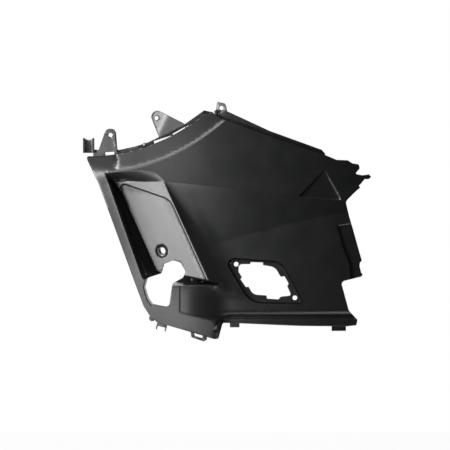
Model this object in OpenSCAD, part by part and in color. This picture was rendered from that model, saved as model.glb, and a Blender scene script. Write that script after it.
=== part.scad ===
// Moulded outer side panel of a scooter: one plastic skin with a pocket, a
// recessed lamp seat, a joggled top flange, and its fixing ears and clips.
// X runs along the panel, Z up and Y inward, so the outer face looks along -Y.
// The origin is the middle of the screw seat in the pocket.

/* [Skin] */
// Wall of the moulded skin
wall = 2.5; // [1.8:0.1:3]
// Radius of the upright bend of the upper face
crown_r = 650; // [600:10:750]
// Distance along X of the upper face's foremost line
crown_x = 35; // [28:1:42]
// Depth of the pocket's screw seat behind the upper face
crown_rise = 28; // [26:0.5:30]
// Depth of the return wall along the front edge
front_return = 14; // [10:1:16]

/* [Upper band] */
// Slope of the band that falls back to the top edge
band_slope = 35; // [30:1:38]
// Radius of the crease below the band
crease_r = 575; // [570:1:580]
// Radius of the curved top edge
top_edge_r = 250; // [247:1:253]

/* [Pocket] */
// Slope of the pocket floor, which looks forward
floor_tilt = 28; // [25:1:30]
// Lean of the pocket and its crest from upright
pocket_lean = 24.3; // [23:0.1:26]
// Step down from the shelf to the pocket floor
floor_step = 2.5; // [1.5:0.1:3]
// Depth of the channel beside the floor, behind the screw seat
channel_depth = 24; // [20:1:28]
// Draft of the pocket walls
pocket_draft = 8; // [4:1:12]

/* [Lower face] */
// Slope of the shoulder under the upper face
shoulder_slope = 12; // [10:1:14]
// Depth of the lower face behind the upper one
lower_drop = 19; // [17:0.5:21]
// Distance along X of the lower face's foremost line
lower_x = 79; // [70:1:90]
// Slope of the flank behind the crest
flank_slope = 31; // [28:1:36]
// Radius of the roll above the block
roll_r = 90; // [80:1:110]
// Height of the cove above the skirt
cove_h = 10; // [8:0.5:12]
// Depth of the cove behind the lower face
cove_depth = 8; // [6:0.5:10]
// Depth of the skirt behind the lower face
skirt_depth = 3; // [1:0.5:4.5]
// Set-back of the rear strip that the next panel covers
joggle = 2.5; // [1.5:0.1:3]
// Depth of the three-cornered dip above the shoulder
dip_depth = 3; // [1:0.5:4]

/* [Lamp seat] */
// Depth of the flat lamp seat under the lower face
seat_depth = 6; // [4:0.5:8]
// Turn of the flat seat about the upright
seat_tilt = 5.8; // [4:0.2:8]
// Diameter of the two lamp screw holes
lamp_hole_d = 6.5; // [4:0.5:8]

/* [Fixings] */
// Diameter of the hole in the pocket
pocket_hole_d = 10; // [6:0.5:11]
// Diameter of the screw seat round that hole
pocket_seat_d = 17; // [15:0.5:19]
// Depth of the screw seat under the pocket floor
pocket_seat_depth = 1.5; // [0.5:0.1:2]
// Length of the hole in the boss behind the seat
pocket_hole_h = 6; // [5:0.5:10]
// Diameter of the holes in the three ears
ear_hole_d = 6; // [4:0.5:7]
// Depth of the top flange behind the upper face
flange_depth = 24; // [22:0.5:27]
// Depth of the rear flange behind the upper face
rear_flange_depth = 6; // [5:0.5:8]
// Slope of the root half of the upper ear, which looks forward
ear_root_tilt = 12; // [8:1:16]
// Slope of its tip half
ear_tip_tilt = 30; // [24:1:34]
// Radius of the hooked clip at the front
hook_r = 8; // [7:0.5:9]

/* [Hidden] */
panel_colour = [0.13, 0.14, 0.14];
big = 900;
front_y = -60;
deep_y = 90;
crown_y = -crown_rise;
lower_y = crown_y + lower_drop;
skirt_top = -95;
crown_facets = 120;

// Middles of the crease circle and of the top edge's circle
crease_c = [-250, 644];
top_c = [-101.4, 383];
top_x0 = -106;
top_x1 = 60;

// Outline in the front view as [x, z, corner radius], clockwise from the rear end of the top edge
rear_edge = [[71.4, 193.2, 2], [84, 185.5, 2], [151, 161, 0], [228, 135, 0], [245, 128, 4],
    [261, 127.4, 3], [267.4, 123.2, 3], [276.5, 121.8, 3], [278, 116, 3], [271.3, 108.4, 1.5],
    [281.4, 106.4, 2], [290.9, 107.8, 0.8], [294.3, 104.2, 0.8], [290.9, 101.1, 0.8], [284.6, 100.8, 2],
    [279, 93.8, 0], [276.6, 92, 0], [278.6, 89.2, 0.8], [270.2, 81.9, 0], [257.9, 69.3, 6],
    [263.2, 47.6, 0], [268.8, 29.4, 0], [281, -13.7, 0.6], [278.2, -17, 0.6], [277.9, -22, 0],
    [280.3, -31.5, 0], [282.5, -32.6, 0.5], [280.4, -36.4, 1.5], [251.3, -43.4, 5], [262.5, -84, 10],
    [274.8, -97, 1], [273.4, -105, 2]];
bottom_edge = [[259, -106.4, 0], [193, -105.4, 0], [109, -101.5, 0], [85, -100.8, 3], [79, -123, 1.5],
    [73.5, -123.2, 0], [39, -112.7, 0], [-7, -99.4, 3], [-16.8, -90.3, 0], [-25.2, -77.7, 10]];
front_edge = [[-39.2, -40.6, 30], [-88.5, 94, 30], [-104.8, 127, 0]];
// Corners of the side that is open at the back, with no return wall
open_side = [[233, 137], [300, 140], [310, -120], [40, -140], [-28, -108], [-14, -60], [60, -60], [232, 20]];
// Parts of the view in which the return walls end at their own depths
front_zone = [[-150, 131], [-99, 126], [-60, 60], [0, -90], [30, -130], [-60, -130], [-150, 0]];
top_zone = [[-150, 131], [-99, 126], [20, 140], [77, 175], [77, 240], [-150, 240]];
rear_zone = [[77, 160], [77, 240], [320, 240], [320, 110], [233, 120]];

// Shoulder line: its place at the foremost line and its fall along X
shoulder_z = 92.7;
shoulder_fall = 6.5;

// Pocket: rim line, bottom line, and the places of the floor's sides across the lean
rim_top = [-79.5, 108];
rim_bottom = [-26.6, -37.8];
pocket_bottom = [15.4, -47.6];
valley_z = 97.3;
valley_x = [-61, 3];
crest_bottom_z = -46.5;
floor_left = -19.5;
floor_corner_r = 7;
floor_top = [-4.2, 77];
floor_top_slope = 19;
floor_bottom = [-14, -26];
floor_bottom_slope = 12.4;
brow_slices = 6;
brow_lead = 1.3;
land = 0.4;

// Block at the lower front: upper corners of its face
block_left = [35, -87.5];
block_right = [77, -98];
block_side_x = 73.5;
block_side_z = -122;

// Corners of the lamp seat, its opening with four notches, and the cut-out under the pocket
seat_points = [[84.7, -8.4, 9], [168, -14.7, 22], [199.5, -74.2, 2.5], [123.2, -73.5, 30]];
lamp_points = [[107.2, -18.6, 6.5], [123.1, -18.5, 0.6], [124.5, -15.7, 0.8], [141.4, -16.3, 0.8],
    [141.4, -19.9, 0], [158.5, -22.8, 16], [165.2, -34.9, 0], [167, -36.4, 0.6], [171.6, -35.5, 1],
    [177.6, -46.3, 1], [175.2, -48.6, 0], [181, -62.5, 2.2], [166.1, -64.2, 0], [163.3, -67.9, 1],
    [147.2, -66.9, 1], [146.3, -62.4, 0], [127.5, -61, 20], [121.2, -49.9, 0], [117.6, -50.8, 1],
    [109.9, -39.5, 0.8], [112.1, -36.8, 0.5], [107.3, -29.4, 0]];
lamp_holes = [[103.9, -18.5], [186.2, -65.8]];
cutout_points = [[3.1, -18.2, 3], [15.4, -13, 7], [25.9, -16.1, 5], [33.6, -29.4, 6], [28.7, -37.8, 4],
    [14.8, -45.2, 3], [10.2, -78.1, 5], [-12.6, -73.9, 3], [-18.2, -65.8, 4], [-23, -50.4, 8],
    [-19.6, -37.5, 2], [-0.7, -31.5, 4]];
joggle_points = [[246, 36], [275, 40], [300, 20], [300, -45], [265.9, -45], [265.4, -35.6], [264.2, -19.9],
    [253.4, 9.1]];
dip_points = [[228, 113.4], [193, 77], [250.6, 72.1]];
dip_start = 0.5;

// Top flange: its free edge and the slots between it and the skin
flange_top = [[-97, 143], [-81, 140], [-65.8, 140.7], [-36.4, 147], [-19.6, 152.3], [30.8, 177],
    [58.8, 197], [71.4, 194.6]];
flange_slots = [[[-80.2, 138.6], [-67.2, 139.3], [-67.6, 130], [-79.6, 130]],
    [[-11.6, 154], [12.6, 161.7], [12.6, 154], [-9.5, 145]],
    [[14.8, 164.2], [32.3, 174], [32.3, 164], [14.8, 154]],
    [[33.8, 175.2], [36.6, 176.9], [36.6, 168], [33.8, 166]]];
rear_flange_top = [[77, 194], [91, 195.3], [151, 168], [224, 142], [229, 136.5]];

// Ears: outline with corner radii, and the hole's place
ear_front = [[-91.2, 136, 0], [-78.9, 171.6, 8], [-65.2, 171.6, 8], [-62.3, 136, 0]];
ear_front_hole = [-72.4, 162.8];
ear_upper = [[-23.1, 206.4, 8.4], [36.5, 173.5, 0], [33.5, 170.5, 0], [-3.5, 156.5, 0]];
ear_upper_hole = [-8, 186.6];
ear_bend = [[4.9, 186.2], [-4.9, 165.9]];
ear_foot = [33.5, 172];
ear_web = [[-3.5, 157], [34, 172.9], [34, 175.1], [-3.5, 159.2]];
ear_rear = [[77.4, 208.5, 0.6], [89.2, 206.3, 5.5], [91.3, 196, 2], [99, 189.5, 0], [97, 180, 0],
    [78, 184, 0], [75.6, 198, 0]];
ear_rear_hole = [83.2, 199.9];
peg_place = [75.7, 194.2];
peg_r = 2.8;
rib_t = 1.5;
rib_depth = 5;
rib_line = [[-66.2, 165], [-63, 138]];

// Clips along the lower edge and the hook at the front end of the flange
loop_outer = [[39.2, -108, 0], [41.3, -120.4, 1.5], [58.8, -126.3, 2], [63, -123.5, 1], [63, -112, 0]];
loop_inner = [[44.8, -113.4, 0.6], [57.2, -117, 0.6], [56.5, -121.5, 0.6], [46.2, -118.3, 0.6]];
skirt_tabs = [[95, 108.5, -107.1], [238, 258.5, -112.7]];
fork_place = [-0.6, -96];
fork_w = 12.6;
fork_h = 15;
fork_tilt = 14;
bump_place = [-13.5, -93.5];
bump_r = 4.5;
hook_place = [-103.2, 137.6];
hook_h = 21;

// Unit vector along v, and the point [x, y, z] of a front view place at depth y
function unit(v) = v / norm(v);
function at(p, y) = [p[0], y, p[1]];
// Face of an upright cylinder at x, whose foremost line is at cx and y0
function bend_y(x, r, cx, y0) = y0 + r - sqrt(r * r - (x - cx) * (x - cx));
function crown(x) = bend_y(x, crown_r, crown_x, crown_y);
function arc_z(x, c, r) = c[1] - sqrt(r * r - (x - c[0]) * (x - c[0]));
// Directions in the front view across and down the leaning pocket
lean_right = [cos(pocket_lean), sin(pocket_lean)];
lean_down = [sin(pocket_lean), -cos(pocket_lean)];
// Outward direction of the pocket floor, and the depth of the shelf round it
floor_out = [-lean_right[0] * sin(floor_tilt), -cos(floor_tilt), -lean_right[1] * sin(floor_tilt)];
shelf_rise = pocket_seat_depth + floor_step;
function shelf_y(p) = -(p * lean_right) * tan(floor_tilt) - shelf_rise / cos(floor_tilt);

// Vector v turned by a about the unit vector k
function turn(v, k, a) = v * cos(a) + cross(k, v) * sin(a) + k * (k * v) * (1 - cos(a));
// Outward direction of the upper bend at x
function crown_out(x) = let (s = (x - crown_x) / crown_r) [s, -sqrt(1 - s * s), 0];
// Upper ear: its root plane, the fold on that plane, and the tip plane beyond the fold
ear_root = at(ear_foot, crown(ear_foot[0]) + flange_depth);
root_out = [-sin(ear_root_tilt), -cos(ear_root_tilt), 0];
function root_y(x) = ear_root[1] + (ear_root[0] - x) * tan(ear_root_tilt);
ear_fold = at(ear_bend[0], root_y(ear_bend[0][0]));
fold_dir = unit(ear_fold - at(ear_bend[1], root_y(ear_bend[1][0])));
tip_out = turn(root_out, fold_dir, ear_root_tilt - ear_tip_tilt);
// Place on the tip plane in front of a place of the front view
function on_tip(p) = at(p, ear_fold[1] - ((p[0] - ear_fold[0]) * tip_out[0] + (p[1] - ear_fold[2]) * tip_out[2])
    / tip_out[1]);

// Flat lamp seat: its outward direction, and its depth at x
seat_mid = (lamp_holes[0] + lamp_holes[1]) / 2;
seat_out = [sin(seat_tilt), -cos(seat_tilt), 0];
function seat_y(x) = bend_y(seat_mid[0], crown_r, lower_x, lower_y) + seat_depth
    + (x - seat_mid[0]) * tan(seat_tilt);

// Place across the lean where the shelf meets the upper face, and the floor's right side
crest_across = (crown_rise - 0.8 - shelf_rise / cos(floor_tilt)) / tan(floor_tilt);
floor_right = crest_across - 4.3;

// Corner p between a and b, rounded with n segments
function fillet(a, p, b, r, n) =
    let (to_a = a - p, to_b = b - p, u = unit(to_a), v = unit(to_b))
    let (half = acos(max(-1, min(1, u * v))) / 2)
    let (reach = min(r / tan(half), 0.48 * norm(to_a), 0.48 * norm(to_b)))
    let (rr = reach * tan(half), c = p + unit(u + v) * rr / sin(half))
    let (s = p + u * reach - c, e = p + v * reach - c)
    [for (i = [0:n]) c + unit(s * (1 - i / n) + e * (i / n)) * rr];
function xz(q) = [q[0], q[1]];
function rounded(pts, n = 5) = [for (i = [0:len(pts) - 1])
    let (m = len(pts), p = pts[i], a = pts[(i + m - 1) % m], b = pts[(i + 1) % m])
    each (p[2] > 0 ? fillet(xz(a), xz(p), xz(b), p[2], n) : [xz(p)])];

// Extrude an outline of the front view through the depth of the panel
module through(y0 = front_y, y1 = deep_y) {
    translate([0, y1, 0])
        rotate([90, 0, 0])
            linear_extrude(y1 - y0) children();
}

// Everything behind a plane through p, where n points into the kept side
module half_space(p, n, inset = 0) {
    d = unit(n);
    translate(p + d * inset)
        rotate(a = acos(d[2]), v = abs(d[2]) > 0.9999 ? [1, 0, 0] : cross([0, 0, 1], d))
            translate([-big / 2, -big / 2, 0])
                cube(big);
}

// Everything behind an upright bend, moved inward by t
module bend(cx, y0, r, t) {
    translate([cx, y0 + r, -big / 2])
        cylinder(r = r - t, h = big, $fn = crown_facets);
}

// Plate of the given thickness, parallel to a bend and t behind it
module bend_plate(cx, y0, r, t, thick) {
    difference() {
        intersection() {
            through() children();
            bend(cx, y0, r, t);
        }
        bend(cx, y0, r, t + thick);
    }
}

function top_edge(n = 10) = [for (i = [0:n]) let (x = top_x0 + (top_x1 - top_x0) * i / n)
    [x, arc_z(x, top_c, top_edge_r), i == 0 ? 4 : 0]];

module outline() {
    polygon(rounded(concat(top_edge(), rear_edge, bottom_edge, front_edge)));
}

module hollow_outline() {
    offset(delta = -wall) outline();
    polygon(open_side);
}

// Strip of the outline's edge that lies in one zone
module edge_strip(zone) {
    difference() {
        polygon(zone);
        offset(delta = -wall - 0.6) outline();
    }
}

module upper_body(t) {
    bend(crown_x, crown_y, crown_r, t);
}

// The shoulder is the upper bend mirrored in the plane of their shared crease
module shoulder_body(t) {
    rise = tan(shoulder_slope / 2);
    translate([crown_x, crown_y + crown_r, shoulder_z + crown_r * rise])
        mirror([sin(shoulder_fall), -rise, cos(shoulder_fall)])
            translate([0, 0, -big])
                cylinder(r = crown_r - t, h = 2 * big, $fn = crown_facets);
}

// Lower face with its cove and skirt, as one revolve
module lower_body(t) {
    r = crown_r - t;
    translate([lower_x, lower_y + crown_r, 0])
        rotate_extrude($fn = crown_facets)
            polygon([[0, -big / 2], [r - skirt_depth, -big / 2], [r - skirt_depth, skirt_top - t * 0.6],
                [r - cove_depth, skirt_top - t * 0.2], [r - cove_depth, skirt_top + cove_h * 0.3],
                [r - cove_depth * 0.4, skirt_top + cove_h * 0.65], [r, skirt_top + cove_h],
                [r, big / 2], [0, big / 2]]);
}

// Flank that falls back behind the crest, down to the wall at its foot
module flank_body(t) {
    n = [-lean_right[0] * sin(flank_slope), cos(flank_slope), -lean_right[1] * sin(flank_slope)];
    intersection() {
        half_space(at(lean_right * crest_across, crown_y + 0.8), n, t);
        half_space([0, crown_y, crest_bottom_z], [0, 0.5, 1], t);
    }
}

// Roll from the face under the pocket back to the lower face
module roll_body(t) {
    top = crest_bottom_z + 6;
    translate([block_left[0] - 10, crown_y + roll_r + 0.3, top - big])
        cylinder(r = roll_r - t, h = big, $fn = 96);
    translate([block_left[0] - 10 - big, crown_y - 10 + t, top - big])
        cube([big, big, big]);
}

module block_body(t) {
    fall = (block_left[1] - block_right[1]) / (block_right[0] - block_left[0]);
    side = (block_right[0] - block_side_x) / (block_right[1] - block_side_z);
    intersection() {
        half_space(at(block_right, crown_y), [-1, 0.3, side], t);
        half_space(at(block_left, crown_y), [-fall, 0.25, -1], t);
    }
}

// Twisted wall between the crease and the shelf: a loft of slices from front to rear
module brow_cut(t) {
    n = brow_slices;
    span = [rim_top[0] + land, -17];
    foot_x = valley_x[0] - 3.5;
    top = [for (i = [0:n]) let (x = span[0] + (span[1] - span[0]) * i / n)
        [x, crown(x) - brow_lead, arc_z(x, crease_c, crease_r - (crown(x) - crown_y) / tan(band_slope)) - land]];
    foot = [for (i = [0:n])
        let (x = i == 0 ? foot_x : valley_x[0] + (valley_x[1] - valley_x[0]) * (i - 1) / (n - 1))
        let (z = i == 0 ? valley_z - 9 : valley_z)
        [x, max(shelf_y([x, z]), crown(x) + 0.3), z]];
    slices = [for (i = [0:n])
        let (a = atan2(foot[i][1] - top[i][1], top[i][2] - foot[i][2]))
        let (grow = [i == 0 ? -t : 0, t * cos(a), t * sin(a)])
        let (q = top[i] + grow, s = foot[i] + grow)
        let (low = s + [0, 4 * lean_right[1] * tan(floor_tilt) - 0.3, -4])
        [at([q[0], q[2]], front_y), q, s, low, at([low[0], low[2]], front_y)]];
    points = [for (s = slices) each s];
    polyhedron(points, concat([[4, 3, 2, 1, 0]],
        [for (i = [0:n - 1], k = [0:4]) let (j = (k + 1) % 5) each [
            [i * 5 + k, i * 5 + j, i * 5 + j + 5],
            [i * 5 + k, i * 5 + j + 5, i * 5 + k + 5]]],
        [[for (k = [0:4]) n * 5 + k]]), convexity = 4);
}

// Room inside the rim wall and the bottom wall of the pocket
module pocket_room(t) {
    rim = unit(rim_top - rim_bottom);
    sill = unit(pocket_bottom - rim_bottom);
    d = sin(pocket_draft);
    intersection() {
        half_space(at(rim_bottom, crown_y + 4), [rim[1], -d, -rim[0]], -t);
        half_space(at(rim_bottom, crown_y + 4), [-sill[1], -d, sill[0]], -t);
        half_space([0, crown_y, pocket_bottom[1] + 0.6], [0, -d, 1], -t);
        half_space([0, 0, valley_z], [0, 0, -1]);
    }
}

// Raised floor of the pocket, which stands in the channel
module plateau(t) {
    intersection() {
        half_space(at(lean_right * floor_left, 10), [lean_right[0], 0.05, lean_right[1]], t);
        half_space(at(floor_bottom, 0), [sin(floor_bottom_slope), 0.05, cos(floor_bottom_slope)], t);
    }
}

module floor_outline() {
    rise = tan(floor_top_slope);
    offset(r = floor_corner_r)
        offset(delta = -floor_corner_r)
            intersection() {
                polygon([for (c = [[floor_left, -130], [floor_right, -130], [floor_right, 90], [floor_left, 90]])
                    lean_right * c[0] + lean_down * c[1]]);
                polygon([floor_top - 90 * [1, -rise], floor_top + 90 * [1, -rise], [90, -200], [-90, -200]]);
            }
}

module pocket_cut(t) {
    intersection() {
        pocket_room(t);
        half_space(floor_out * shelf_rise, floor_out, -t);
    }
    intersection() {
        through() offset(delta = t) floor_outline();
        half_space(floor_out * pocket_seat_depth, floor_out, -t);
        pocket_room(t);
    }
    difference() {
        intersection() {
            pocket_room(t);
            half_space([0, channel_depth, 0], [0, -1, 0], -t);
            half_space([valley_x[0] - 2, 8, valley_z - 9], [-0.8, 0, -0.6], -t);
        }
        plateau(t);
    }
    brow_cut(t);
}

// Cone in front of the band between the crease and the top edge
module band_cut(t) {
    k = tan(band_slope);
    lead = 40;
    run = 60;
    translate([crease_c[0], crown_y - lead + t / cos(band_slope), crease_c[1]])
        rotate([-90, 0, 0])
            cylinder(r1 = crease_r + lead / k, r2 = crease_r - run / k, h = lead + run, $fn = 200);
}

// Recess with the outline of the first child, as deep as the second one reaches
module recess(t) {
    intersection() {
        through() offset(delta = t) children(0);
        children(1);
    }
}

// Three-cornered dip that starts flush at its apex and is deepest along its base
module dip_cut(t) {
    apex = dip_points[0];
    base = dip_points[1];
    low = dip_points[2];
    a = at(apex, bend_y(apex[0], crown_r, crown_x, crown_y) + dip_start);
    b = at(base, bend_y(base[0], crown_r, crown_x, crown_y) + dip_depth + dip_start);
    c = at(low, bend_y(low[0], crown_r, crown_x, crown_y) + dip_depth + dip_start);
    n = unit(cross(b - a, c - a));
    intersection() {
        through() offset(delta = t) polygon(dip_points);
        half_space(a, n[1] < 0 ? n : -n, -t);
    }
}

// Solid behind the outer face, with every face moved inward by t
module form(t) {
    difference() {
        intersection() {
            upper_body(t);
            union() {
                shoulder_body(t);
                lower_body(t);
                flank_body(t);
                block_body(t);
                roll_body(t);
            }
        }
        pocket_cut(t);
        band_cut(t);
        recess(t) {
            polygon(rounded(seat_points, 6));
            half_space(at(seat_mid, seat_y(seat_mid[0])), seat_out, -t);
        }
        recess(t) {
            polygon(joggle_points);
            difference() {
                translate([0, front_y, -big / 2])
                    cube(big);
                bend(lower_x, lower_y, crown_r, joggle + t);
            }
        }
        dip_cut(t);
    }
}

module skin() {
    difference() {
        intersection() {
            form(0);
            through() outline();
        }
        intersection() {
            form(wall);
            through() hollow_outline();
        }
    }
}

// Flange behind the top edge, thicker than it ends up: the trims cut it back
module top_flange() {
    bend_plate(crown_x, crown_y, crown_r, flange_depth, 3 * wall)
        difference() {
            polygon(concat(flange_top, [[77, 176], [20, 135], [-96, 125]]));
            offset(delta = -wall) outline();
            for (slot = flange_slots)
                difference() {
                    polygon(slot);
                    offset(delta = 0.3) outline();
                }
        }
    bend_plate(crown_x, crown_y, crown_r, flange_depth, 3 * wall)
        difference() {
            polygon(rounded(ear_front));
            outline();
            polygon(flange_slots[0]);
        }
    bend_plate(crown_x, crown_y, crown_r, flange_depth - rib_depth, rib_depth + wall / 2)
        polygon([rib_line[0], rib_line[1], rib_line[1] - [rib_t, 0], rib_line[0] - [rib_t, 0]]);
}

module rear_flange() {
    bend_plate(crown_x, crown_y, crown_r, rear_flange_depth, 3 * wall)
        difference() {
            union() {
                polygon(concat(rear_flange_top, [[228, 130], [84, 178], [77, 182]]));
                polygon(rounded(ear_rear));
            }
            offset(delta = -wall) outline();
        }
}

// Bent ear behind the top flange, and the web that carries it
module upper_ear() {
    difference() {
        intersection() {
            through() polygon(rounded(ear_upper, 8));
            half_space(ear_root, -root_out);
            half_space(ear_fold, -tip_out);
        }
        intersection() {
            half_space(ear_root, -root_out, wall);
            half_space(ear_fold, -tip_out, wall);
        }
    }
    difference() {
        intersection() {
            upper_body(flange_depth);
            through() polygon(ear_web);
        }
        intersection() {
            half_space(ear_root, -root_out, wall / 2);
            half_space(ear_fold, -tip_out, wall / 2);
        }
    }
}

// Half-pipe hook at the front end of the top flange
module hook() {
    y = crown(hook_place[0]) + flange_depth - hook_r + wall;
    difference() {
        translate([hook_place[0], y, hook_place[1]])
            cylinder(r = hook_r, h = hook_h, $fn = 64);
        translate([hook_place[0], y, hook_place[1] - 1])
            cylinder(r = hook_r - wall, h = hook_h + 2, $fn = 64);
        translate([hook_place[0] - 20, y - 40, hook_place[1] - 1])
            cube([40, 40, hook_h + 2]);
        translate([hook_place[0], y, hook_place[1] + hook_h + 4])
            rotate([90, 0, 0])
                cylinder(r = 7, h = 60, center = true, $fn = 48);
    }
}

// Boss behind the pocket's screw hole
module pocket_boss() {
    along(-floor_out)
        cylinder(d = pocket_seat_d + 2 * wall, h = pocket_hole_h, $fn = 64);
}

// Turns +Z to the direction d
module along(d) {
    z = unit(d);
    rotate(a = acos(z[2]), v = abs(z[2]) > 0.9999 ? [1, 0, 0] : cross([0, 0, 1], z)) children();
}

// Round hole along the direction out, through the point p
module drill(p, out, d, h = 16) {
    translate(p)
        along(out)
            cylinder(d = d, h = h, center = true, $fn = 48);
}

// Ear hole square to the upper bend, in a flange at the given depth
module ear_drill(p, depth) {
    drill(at(p, crown(p[0]) + depth), crown_out(p[0]), ear_hole_d);
}

module lower_clips() {
    bend_plate(crown_x, crown_y, crown_r, 0.5, wall)
        difference() {
            polygon(rounded(loop_outer, 3));
            polygon(rounded(loop_inner, 3));
        }
    for (tab = skirt_tabs)
        bend_plate(lower_x, lower_y, crown_r, skirt_depth + 0.3, wall)
            polygon([[tab[0], skirt_top - 3], [tab[1], skirt_top - 3], [tab[1], tab[2]], [tab[0], tab[2]]]);
    fork();
    bend_plate(crown_x, crown_y, crown_r, 0.8, wall)
        translate(bump_place) circle(r = bump_r, $fn = 24);
}

// Small fork that stands out of the lower edge
module fork() {
    y = crown(fork_place[0]) + 0.8;
    translate(at(fork_place, y))
        rotate([0, fork_tilt, 0]) {
            for (side = [-1, 1])
                translate([side * (fork_w / 2 - 1) - 1, 0, -fork_h])
                    cube([2, 5, fork_h]);
            translate([-fork_w / 2, 0, -fork_h + 5])
                cube([fork_w, wall, 6]);
        }
}

module openings() {
    through() {
        polygon(rounded(lamp_points, 6));
        polygon(rounded(cutout_points, 4));
    }
    for (p = lamp_holes)
        drill(at(p, seat_y(p[0])), seat_out, lamp_hole_d);
    ear_drill(ear_front_hole, flange_depth);
    ear_drill(ear_rear_hole, rear_flange_depth);
    drill(on_tip(ear_upper_hole), tip_out, ear_hole_d);
    drill([0, 0, 0], floor_out, pocket_hole_d, 40);
    along(floor_out)
        cylinder(d = pocket_seat_d, h = 20, $fn = 64);
}

// Cuts that end the return walls at their depths
module return_trims() {
    intersection() {
        upper_body(front_return);
        through() edge_strip(front_zone);
    }
    intersection() {
        upper_body(flange_depth + wall);
        through() edge_strip(top_zone);
    }
    intersection() {
        upper_body(rear_flange_depth + wall);
        through() edge_strip(rear_zone);
    }
}

module side_panel() color(panel_colour) {
    difference() {
        union() {
            difference() {
                union() {
                    skin();
                    top_flange();
                    rear_flange();
                }
                return_trims();
            }
            upper_ear();
            hook();
            pocket_boss();
            lower_clips();
            translate([peg_place[0], crown(peg_place[0]) + rear_flange_depth + 1, peg_place[1]])
                rotate([90, 0, 0])
                    cylinder(r = peg_r, h = 6, $fn = 32);
        }
        openings();
    }
}

side_panel();
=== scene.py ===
"""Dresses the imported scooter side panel: moulded skin, flanges, ears and clips, the plastic's finish and the studio.

The skin is one closed sheet over the front view. Its outer and inner depths come from the same bends, planes and
cones as the solid, softened by the radius of a moulded edge. Lengths are in millimetres until a mesh is made.
"""
import logging
import math
from collections.abc import Callable, Sequence
from dataclasses import dataclass, field

import bmesh
import bpy
import numpy as np
from mathutils import Matrix, Vector
from mathutils.geometry import delaunay_2d_cdt
from mathutils.kdtree import KDTree


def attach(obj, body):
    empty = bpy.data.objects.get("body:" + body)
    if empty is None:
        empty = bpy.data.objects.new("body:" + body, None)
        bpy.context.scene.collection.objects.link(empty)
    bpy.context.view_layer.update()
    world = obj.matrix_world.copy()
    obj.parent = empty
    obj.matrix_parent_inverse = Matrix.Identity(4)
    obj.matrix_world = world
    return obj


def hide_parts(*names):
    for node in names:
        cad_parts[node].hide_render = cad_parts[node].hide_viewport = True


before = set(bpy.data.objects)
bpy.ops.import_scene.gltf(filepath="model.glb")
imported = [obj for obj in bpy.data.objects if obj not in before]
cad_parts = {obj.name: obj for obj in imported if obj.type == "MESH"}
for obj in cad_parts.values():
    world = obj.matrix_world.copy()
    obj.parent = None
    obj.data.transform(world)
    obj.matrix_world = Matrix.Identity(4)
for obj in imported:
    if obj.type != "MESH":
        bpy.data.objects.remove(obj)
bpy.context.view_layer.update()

MM = 0.001
NODE = "side_panel"
BODY = "root"
SLOT = "black_plastic"
EDGE_MARK = "edge"
WALL = 2.5
FAR = 400.0
Depth = Callable[[np.ndarray, np.ndarray], np.ndarray]

log = logging.getLogger("side_panel")


def unit(vector: Sequence[float]) -> np.ndarray:
    """Returns the vector at length one."""
    v = np.asarray(vector, float)
    return v / np.linalg.norm(v)


def rounded(corners: Sequence[Sequence[float]], steps: int = 6) -> np.ndarray:
    """Rounds the corners of an outline.

    Args:
        corners: Corners as (x, z, radius), where radius 0 keeps the corner sharp.
        steps: Segments in each rounding.

    Returns:
        The outline's points, one row each.
    """
    out: list[np.ndarray] = []
    count = len(corners)
    for i, (x, z, radius) in enumerate(corners):
        p = np.array([x, z], float)
        if radius <= 0:
            out.append(p)
            continue
        to_a = np.array(corners[i - 1][:2], float) - p
        to_b = np.array(corners[(i + 1) % count][:2], float) - p
        u, v = unit(to_a), unit(to_b)
        half = math.acos(max(-1.0, min(1.0, float(u @ v)))) / 2
        reach = min(radius / math.tan(half), 0.48 * np.linalg.norm(to_a), 0.48 * np.linalg.norm(to_b))
        r = reach * math.tan(half)
        centre = p + unit(u + v) * r / math.sin(half)
        start, end = p + u * reach - centre, p + v * reach - centre
        for k in range(steps + 1):
            out.append(centre + unit(start * (1 - k / steps) + end * (k / steps)) * r)
    return np.array(out)


def disc(x: float, z: float, radius: float, steps: int = 40) -> np.ndarray:
    """Returns a round outline."""
    turn = np.linspace(0, 2 * math.pi, steps, endpoint=False)
    return np.stack([x + radius * np.cos(turn), z + radius * np.sin(turn)], 1)


def resampled(points: np.ndarray, step: float, closed: bool = True) -> np.ndarray:
    """Splits the long edges of a line into equal parts no longer than step, and keeps its corners."""
    out: list[np.ndarray] = []
    last = len(points) if closed else len(points) - 1
    for i in range(last):
        a, b = points[i], points[(i + 1) % len(points)]
        parts = max(1, int(math.ceil(np.linalg.norm(b - a) / step)))
        out.extend(a + (b - a) * k / parts for k in range(parts))
    if not closed:
        out.append(points[-1])
    return np.array(out)


def inside(x: np.ndarray, z: np.ndarray, outline: np.ndarray) -> np.ndarray:
    """Says which places lie inside an outline."""
    hit = np.zeros(x.shape, bool)
    for a, b in zip(outline, np.roll(outline, -1, 0)):
        if a[1] == b[1]:
            continue
        crosses = (a[1] > z) != (b[1] > z)
        at_x = a[0] + (z - a[1]) * (b[0] - a[0]) / (b[1] - a[1])
        hit ^= crosses & (x < at_x)
    return hit


def edge_distance(x: np.ndarray, z: np.ndarray, outline: np.ndarray, closed: bool = True) -> np.ndarray:
    """Returns the distance from each place to the nearest edge of an outline."""
    best = np.full(x.shape, 1e9)
    ends = np.roll(outline, -1, 0)
    pairs = list(zip(outline, ends)) if closed else list(zip(outline[:-1], ends[:-1]))
    for a, b in pairs:
        d = b - a
        square = float(d @ d)
        if square == 0:
            continue
        t = np.clip(((x - a[0]) * d[0] + (z - a[1]) * d[1]) / square, 0, 1)
        best = np.minimum(best, (x - a[0] - t * d[0]) ** 2 + (z - a[1] - t * d[1]) ** 2)
    return np.sqrt(best)


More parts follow.
